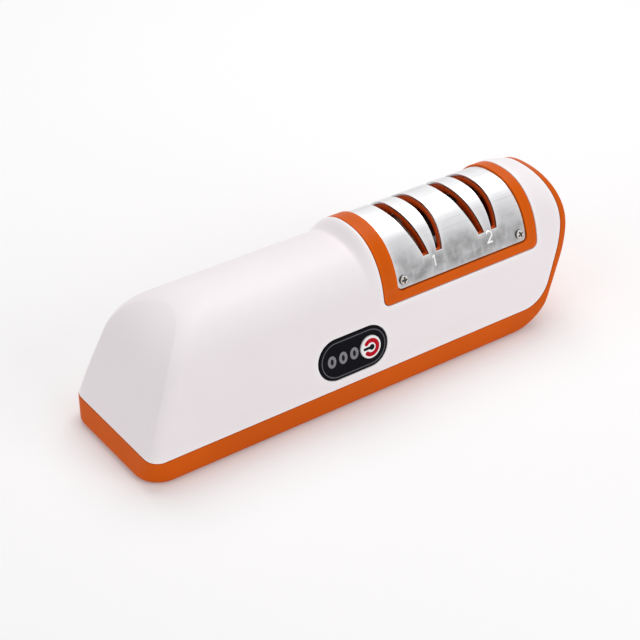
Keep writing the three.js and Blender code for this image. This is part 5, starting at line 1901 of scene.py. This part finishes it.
@dataclass
class BaseHousing:
    """The orange base: a shallow tray with round table edges that turns up into the end wall."""

    edge: float = 2.0
    rim: float = 0.3
    wall: float = 1.9
    corner_stations: int = 12
    floor_stations: int = 110
    bend_stations: int = 18
    rise_stations: int = 64
    bend_places: Pair = (-0.2, 0.3)
    bend_samples: int = 6001
    rounds: int = 8
    left_columns: int = 40
    side_rows: int = 9
    round_rows: int = 6
    foot_hole: float = 5.8
    screw_hole: float = 3.0
    foot_places: tuple[Pair, ...] = ((-90.3, 20.95), (61.3, 20.95))
    screw_places: tuple[Pair, ...] = ((-75.7, 23.0), (72.8, 23.0))
    port: Spot = (23.6, 10.4, 4.7)
    port_from: float = 60.0
    rim_rows: int = 4
    inside: Spot = (0.0, 0.0, 40.0)
    foot_knee: float = 0.45
    foot_sides: int = 64
    screw_sink: float = 1.1
    screw_turn: float = 0.4

    def line_along(self, curve: EndCurve, depth: float, left: float) -> FrontLine:
        """A line from the crown of the end wall down, round the bend and on to the left corner.

        The crest falls towards the end, so height and X are taken in turn from each other until
        they agree.

        Args:
            curve: Side outline that the line follows.
            depth: How far the line lies under the skin.
            left: X of its left end.

        Returns:
            The line.
        """
        bend = shares(self.bend_stations)[::-1]
        rise = shares(self.rise_stations)[::-1][:-1]
        floor = shares(self.floor_stations)[::-1][1:]
        z_bend = curve.corner_z - curve.corner * np.cos((math.pi / 2 - curve.lean) * bend)
        places = np.linspace(*self.bend_places, self.bend_samples)
        v_bend = np.interp(z_bend, FORM.section(places, FORM.head_top, depth)[1], places)
        v = np.concatenate([v_bend[0] + (0.5 - v_bend[0]) * rise, v_bend])
        x = np.full(len(v), FORM.right - FORM.end_wall)
        for _ in range(self.rounds):
            z = FORM.section(v, FORM.crown(x), depth)[1]
            z[self.rise_stations:] = z_bend
            x, out_x, out_z = curve.at(z)
        level = 0.0 * floor
        out = [np.concatenate([out_x, level]), np.concatenate([out_z, level - 1.0])]
        x = np.concatenate([x, left + (curve.corner_x - left) * floor])
        return FrontLine(x, np.concatenate([v, level + v[-1]]), points_of(*out))

    def front_band(self) -> Array:
        """The front side of the base from the crown to the start of its left corner.

        Across the band the rows run from the seam down the skin, with place and X both straight
        between seam and edge, then round the edge: c + r d, with d turning from the skin's
        direction to the floor's or end face's.

        Returns:
            Rows of points from seam to underside.
        """
        low_left, high_left = FORM.left + FORM.toe_corner, FORM.left + FORM.toe_reach + FORM.corner
        low = self.line_along(FORM.outer_end.grown(-self.edge), self.edge, low_left)
        high = self.line_along(FORM.seam_end.grown(self.rim), 0.0, high_left)
        out = FORM.skin_normal(low.x, low.v)
        out[:, 1] = np.minimum(out[:, 1], 0.0)
        out[0, 1] = 0.0
        share = shares(self.side_rows)[None, :]
        v = high.v[:, None] + (low.v - high.v)[:, None] * share
        x = high.x[:, None] + (low.x + self.edge * out[:, 0] - high.x)[:, None] * share
        y, z = FORM.section(np.minimum(v, BEFORE_CROWN), FORM.crown(x))
        side = points_of(x, y, z)
        under = np.insert(low.out, 1, 0.0, axis=1)
        centre = side[:, -1] - self.edge * out
        between = np.arccos(np.clip((out * under).sum(axis=1), -1.0, 1.0))[:, None, None]
        turn = shares(self.round_rows)[1:][None, :, None]
        mixed = np.sin((1 - turn) * between) * out[:, None] + np.sin(turn * between) * under[:, None]
        return np.concatenate([side, centre[:, None] + self.edge * mixed / np.sin(between)], axis=1)

    def left_band(self) -> tuple[Array, Array]:
        """The left corner and half of the left end, from their seam to the underside.

        The plan is a corner arc of radius R(s) about (x0(s) + R, w - R), and both R and x0 change
        evenly with the height share s from table to seam.

        Returns:
            The corner's rows and the rows of the left end.
        """
        rows = shares(self.side_rows)[::-1]
        turn = np.linspace(0.0, math.pi / 2, self.round_rows + 1)[1:]
        high = FORM.seam - self.rim
        low = FORM.table + self.edge
        z = np.concatenate([low + (high - low) * rows, FORM.table + self.edge * (1 - np.sin(turn))])
        share = np.concatenate([rows, np.zeros(self.round_rows)])
        inset = np.concatenate([np.zeros(self.side_rows + 1), self.edge * (1 - np.cos(turn))])
        radius = FORM.toe_corner + (FORM.corner - FORM.toe_corner) * share
        x0 = FORM.left + FORM.toe_reach * share
        flat = FORM.seam_width / 2 - radius
        angle = np.linspace(math.pi / 2, 0.0, self.corner_stations + 1)[1:, None]
        corner_x = x0 + radius - (radius - inset) * np.cos(angle)
        corner_y = -flat - (radius - inset) * np.sin(angle)
        corner = points_of(corner_x, corner_y, z)
        place = np.linspace(-1.0, 1.0, self.left_columns + 1)[1:-1, None]
        straight = points_of(x0 + inset, flat * place, z)
        return corner, straight

    def solid(self) -> Solid:
        """The tray's wall, with its rolled seam rim and its holes for feet, screws and socket.

        Returns:
            The closed wall.
        """
        front = self.front_band()
        corner, straight = self.left_band()
        mirror = np.array([1.0, -1.0, 1.0])
        half = np.concatenate([front, corner])
        band = np.concatenate([half, straight, half[::-1] * mirror])
        share = np.linspace(-1.0, 1.0, self.left_columns + 1)
        under = half[:, -1]
        sheet = points_of(under[:, :1], -under[:, 1:2] * share, under[:, 2:])
        x, y, z = np.moveaxis(sheet, -1, 0)
        cut = np.full(x.shape, FAR_FROM_OPENINGS)
        holes = [(place, self.foot_hole) for place in self.foot_places]
        holes += [(place, self.screw_hole) for place in self.screw_places]
        for (centre_x, centre_y), radius in holes:
            away = np.hypot(np.hypot(x - centre_x, np.abs(y) - centre_y), z - FORM.table)
            cut = np.maximum(cut, radius + self.rim - away)
        port_z, port_width, port_height = self.port
        port = self.rim - stadium(y, z - port_z, port_width, port_height)
        cut = np.maximum(cut, np.where(x > self.port_from, port, FAR_FROM_OPENINGS))
        patches = [Patch(band), Patch(sheet, cut)]
        return skin(patches, self.wall, self.rim, self.inside, self.rim_rows)

    def foot(self) -> Solid:
        """A rubber foot: a soft-edged disc with a shallow dish."""
        knees = [(0.0, 0.25), (2.9, 0.25), (3.3, 0.0), (5.5, 0.0), (5.5, 1.6), (0.0, 1.6)]
        return turned(softened(knees, self.foot_knee, steps=5), self.foot_sides)

    @staticmethod
    def mirrored(places: Sequence[Pair], z: float) -> list[Array]:
        """Points at a height for places on the front and their mirror images on the back."""
        return [np.array([x, side.value * y, z]) for x, y in places for side in Side]

    def dress(self) -> None:
        """Adds the base, its feet and its screws."""
        place_piece("orange_base", self.solid(), ORANGE_SHELL, nodes=["base_housing"])
        for number, spot in enumerate(self.mirrored(self.foot_places, 0.0), 1):
            foot = self.foot().moved(lambda points: points + spot)
            place_piece(f"soft_foot_{number}", foot, FOOT_RUBBER,
                        nodes=[f"rubber_foot_{number}"])
        screw = Screw(head=2.7, rise=1.1, shank=1.4, length=12.0)
        down = np.array([0.0, 0.0, -1.0])
        spots = self.mirrored(self.screw_places, FORM.table + self.screw_sink)
        for number, spot in enumerate(spots, 1):
            solid = screw.solid(spot, down, self.screw_turn * number, 0.0)
            place_piece(f"housing_screw_{number}", solid, ZINC,
                        nodes=[f"base_screw_{number}"])


@dataclass
class WheelSprings:
    """The coil springs that hold the two wheels of each pair apart, each made as two halves."""

    saddle: Saddle
    radius: float = 4.3
    wire: float = 0.3
    half: float = 1.1
    travel: float = 0.7
    kinds: tuple[str, str] = ("fine", "coarse")

    def dress(self) -> None:
        """Adds the springs, each as two halves that start at the middle of their pair, on the spindle.
        """
        axis = self.saddle.axis
        for number, (kind, middle) in enumerate(zip(self.kinds, self.saddle.pairs), 1):
            for hand in Hand:
                end = middle + hand.value * (self.half - self.wire)
                winding = coil(middle, end, self.radius, self.wire, 1.0)
                solid = winding.moved(lambda points: points + [0, 0, axis]).outward()
                piece = place_piece(f"{kind}_spring_{hand.name.lower()}", solid, SCREW_CHROME,
                                    Body.SPINDLE, [f"wheel_spring_{number}"])
                anchor = (middle * MM, 0.0, axis * MM)
                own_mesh(piece)


INNER_FINISHES: dict[Finish, tuple[str, ...]] = {
    INNER_BLACK: ("switch_plunger", "tact_switch", "battery_tray", "motor_end_cap", "motor_cradle",
                  "shaft_coupling", "bearing_support"),
    BOARD_GREEN: ("control_board", "charging_board"),
    SLEEVE_BLUE: ("battery_cell",),
    ZINC: ("battery_contact", "motor_can", "motor_strap", "strap_screw", "grinding_spindle",
           "charging_socket"),
    COPPER: ("motor_rotor",),
    BRONZE: ("spindle_bearing",),
    FINE_STONE: ("fine_wheel",),
    COARSE_STONE: ("coarse_wheel",),
    LEAD_RED: ("battery_lead_plus", "motor_lead_plus"),
    LEAD_BLACK: ("battery_lead_minus", "motor_lead_minus", "charging_cable"),
}


def dress_inner_parts() -> None:
    """Gives each solid that stays its real finish, by its name without its number."""
    finishes = {stem: finish for finish, stems in INNER_FINISHES.items() for stem in stems}
    for name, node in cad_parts.items():
        finish = finishes.get(name.rstrip("0123456789").rstrip("_"))
        if finish is None:
            continue
        for slot in node.material_slots:
            slot.material = material_of(finish)
        log.info("%s: kept, %s", name, finish.name)


@dataclass(frozen=True)
class Lamp:
    """A soft rectangular studio lamp that faces a point."""

    name: str
    place: Spot
    target: Spot
    size: Pair
    watts: float
    reflected: bool = True

    def hang(self) -> None:
        """Adds the lamp."""
        light = bpy.data.lights.new(self.name, "AREA")
        light.shape = "RECTANGLE"
        light.size, light.size_y = self.size
        light.energy = self.watts
        lamp = added(self.name, light)
        lamp.location = self.place
        aim = Vector(self.target) - Vector(self.place)
        lamp.rotation_euler = aim.to_track_quat("-Z", "Y").to_euler()
        lamp.visible_glossy = self.reflected
        log.info("lamp %s: %.1f W", self.name, self.watts)


@dataclass
class Studio:
    """Pale floor, soft light, white surroundings and the camera of the photograph."""

    azimuth: float = math.radians(35.65)
    elevation: float = math.radians(33.70)
    camera_place: Spot = (-0.3464, -0.4751, 0.4127)
    lens: float = 95.63
    sensor: float = 36.0
    clip: Pair = (0.01, 20.0)
    floor_size: float = 6.0
    floor_points: int = 25
    floor_colour: Colour = (0.86, 0.85, 0.855)
    fleck_colour: Colour = (0.8, 0.79, 0.8)
    fleck_scale: float = 300.0
    flecked: float = 0.02
    glow: float = 0.1
    ambient: float = 0.5
    lamps: tuple[Lamp, ...] = (
        Lamp("overhead", (0.3, 0.36, 0.9), (0.0, 0.0, 0.0), (0.8, 0.6), 4.8),
        Lamp("front", (0.35, -0.95, 0.5), (0.0, 0.0, 0.03), (0.7, 0.6), 3.6, False),
        Lamp("left", (-0.95, -0.1, 0.35), (0.0, 0.0, 0.03), (0.6, 0.5), 1.5, False),
    )

    def floor(self) -> None:
        """Adds the floor, flat at the height of the feet."""
        count = self.floor_points
        line = np.linspace(-self.floor_size / 2, self.floor_size / 2, count)
        points = points_of(line[:, None], line, 0.0).reshape(-1, 3)
        mesh = bpy.data.meshes.new("studio_floor")
        mesh.from_pydata(points.tolist(), [], grid_faces(count, count).tolist())
        bench = Bench.named("floor_paper")
        fleck = bench.noise(self.fleck_scale, 3.0)
        tone = bench.blend(fleck * self.flecked, self.floor_colour, self.fleck_colour)
        paper = bench.add("ShaderNodeBsdfDiffuse", {}, {"Color": tone})
        glow = bench.add("ShaderNodeEmission", {}, {"Color": WHITE, "Strength": self.glow})
        lit = bench.add("ShaderNodeAddShader", {}, {0: paper, 1: glow})
        bench.close(bench.add("ShaderNodeMixShader", {}, {0: bench.seen(), 1: paper, 2: lit}))
        mesh.materials.append(bench.holder)
        floor = added("studio_floor", mesh)

    def surroundings(self) -> None:
        """A white surround for what the camera and reflections see, and a plain ambient level."""
        world = bpy.data.worlds.new("white_surround")
        bpy.context.scene.world = world
        bench = Bench(world)
        plain, white = (bench.add("ShaderNodeBackground", {}, {"Color": WHITE, "Strength": level})
                        for level in (self.ambient, 1.0))
        mix = bench.add("ShaderNodeMixShader", {}, {0: bench.seen(), 1: plain, 2: white})
        bench.close(mix, "World")

    def camera(self) -> None:
        """Adds the camera where the photograph was taken from."""
        a, e = self.azimuth, self.elevation
        right = Vector((math.cos(a), -math.sin(a), 0.0))
        back = Vector((-math.sin(a) * math.cos(e), -math.cos(a) * math.cos(e), math.sin(e)))
        up = back.cross(right)
        data = bpy.data.cameras.new("photo_camera")
        data.sensor_width = self.sensor
        data.sensor_fit = "HORIZONTAL"
        data.lens = self.lens
        data.clip_start, data.clip_end = self.clip
        camera = added("photo_camera", data)
        turn = Matrix((right, up, back)).transposed().to_4x4()
        camera.matrix_world = Matrix.Translation(self.camera_place) @ turn
        bpy.context.scene.camera = camera

    def build(self) -> None:
        """Sets the studio up."""
        bpy.context.scene.view_settings.view_transform = "Standard"
        self.floor()
        self.surroundings()
        for lamp in self.lamps:
            lamp.hang()
        self.camera()


def main() -> None:
    """Builds the studio and every sub-assembly in order."""
    logging.basicConfig(level=logging.INFO, format="%(message)s")
    Studio().build()
    saddle = Saddle()
    panel = ControlPanel(PanelPlane())
    UpperHousing(saddle, panel).dress()
    BaseHousing().dress()
    saddle.dress()
    Cover(saddle).dress()
    panel.dress()
    WheelSprings(saddle).dress()
    dress_inner_parts()


if __name__ == "__main__":
    main()
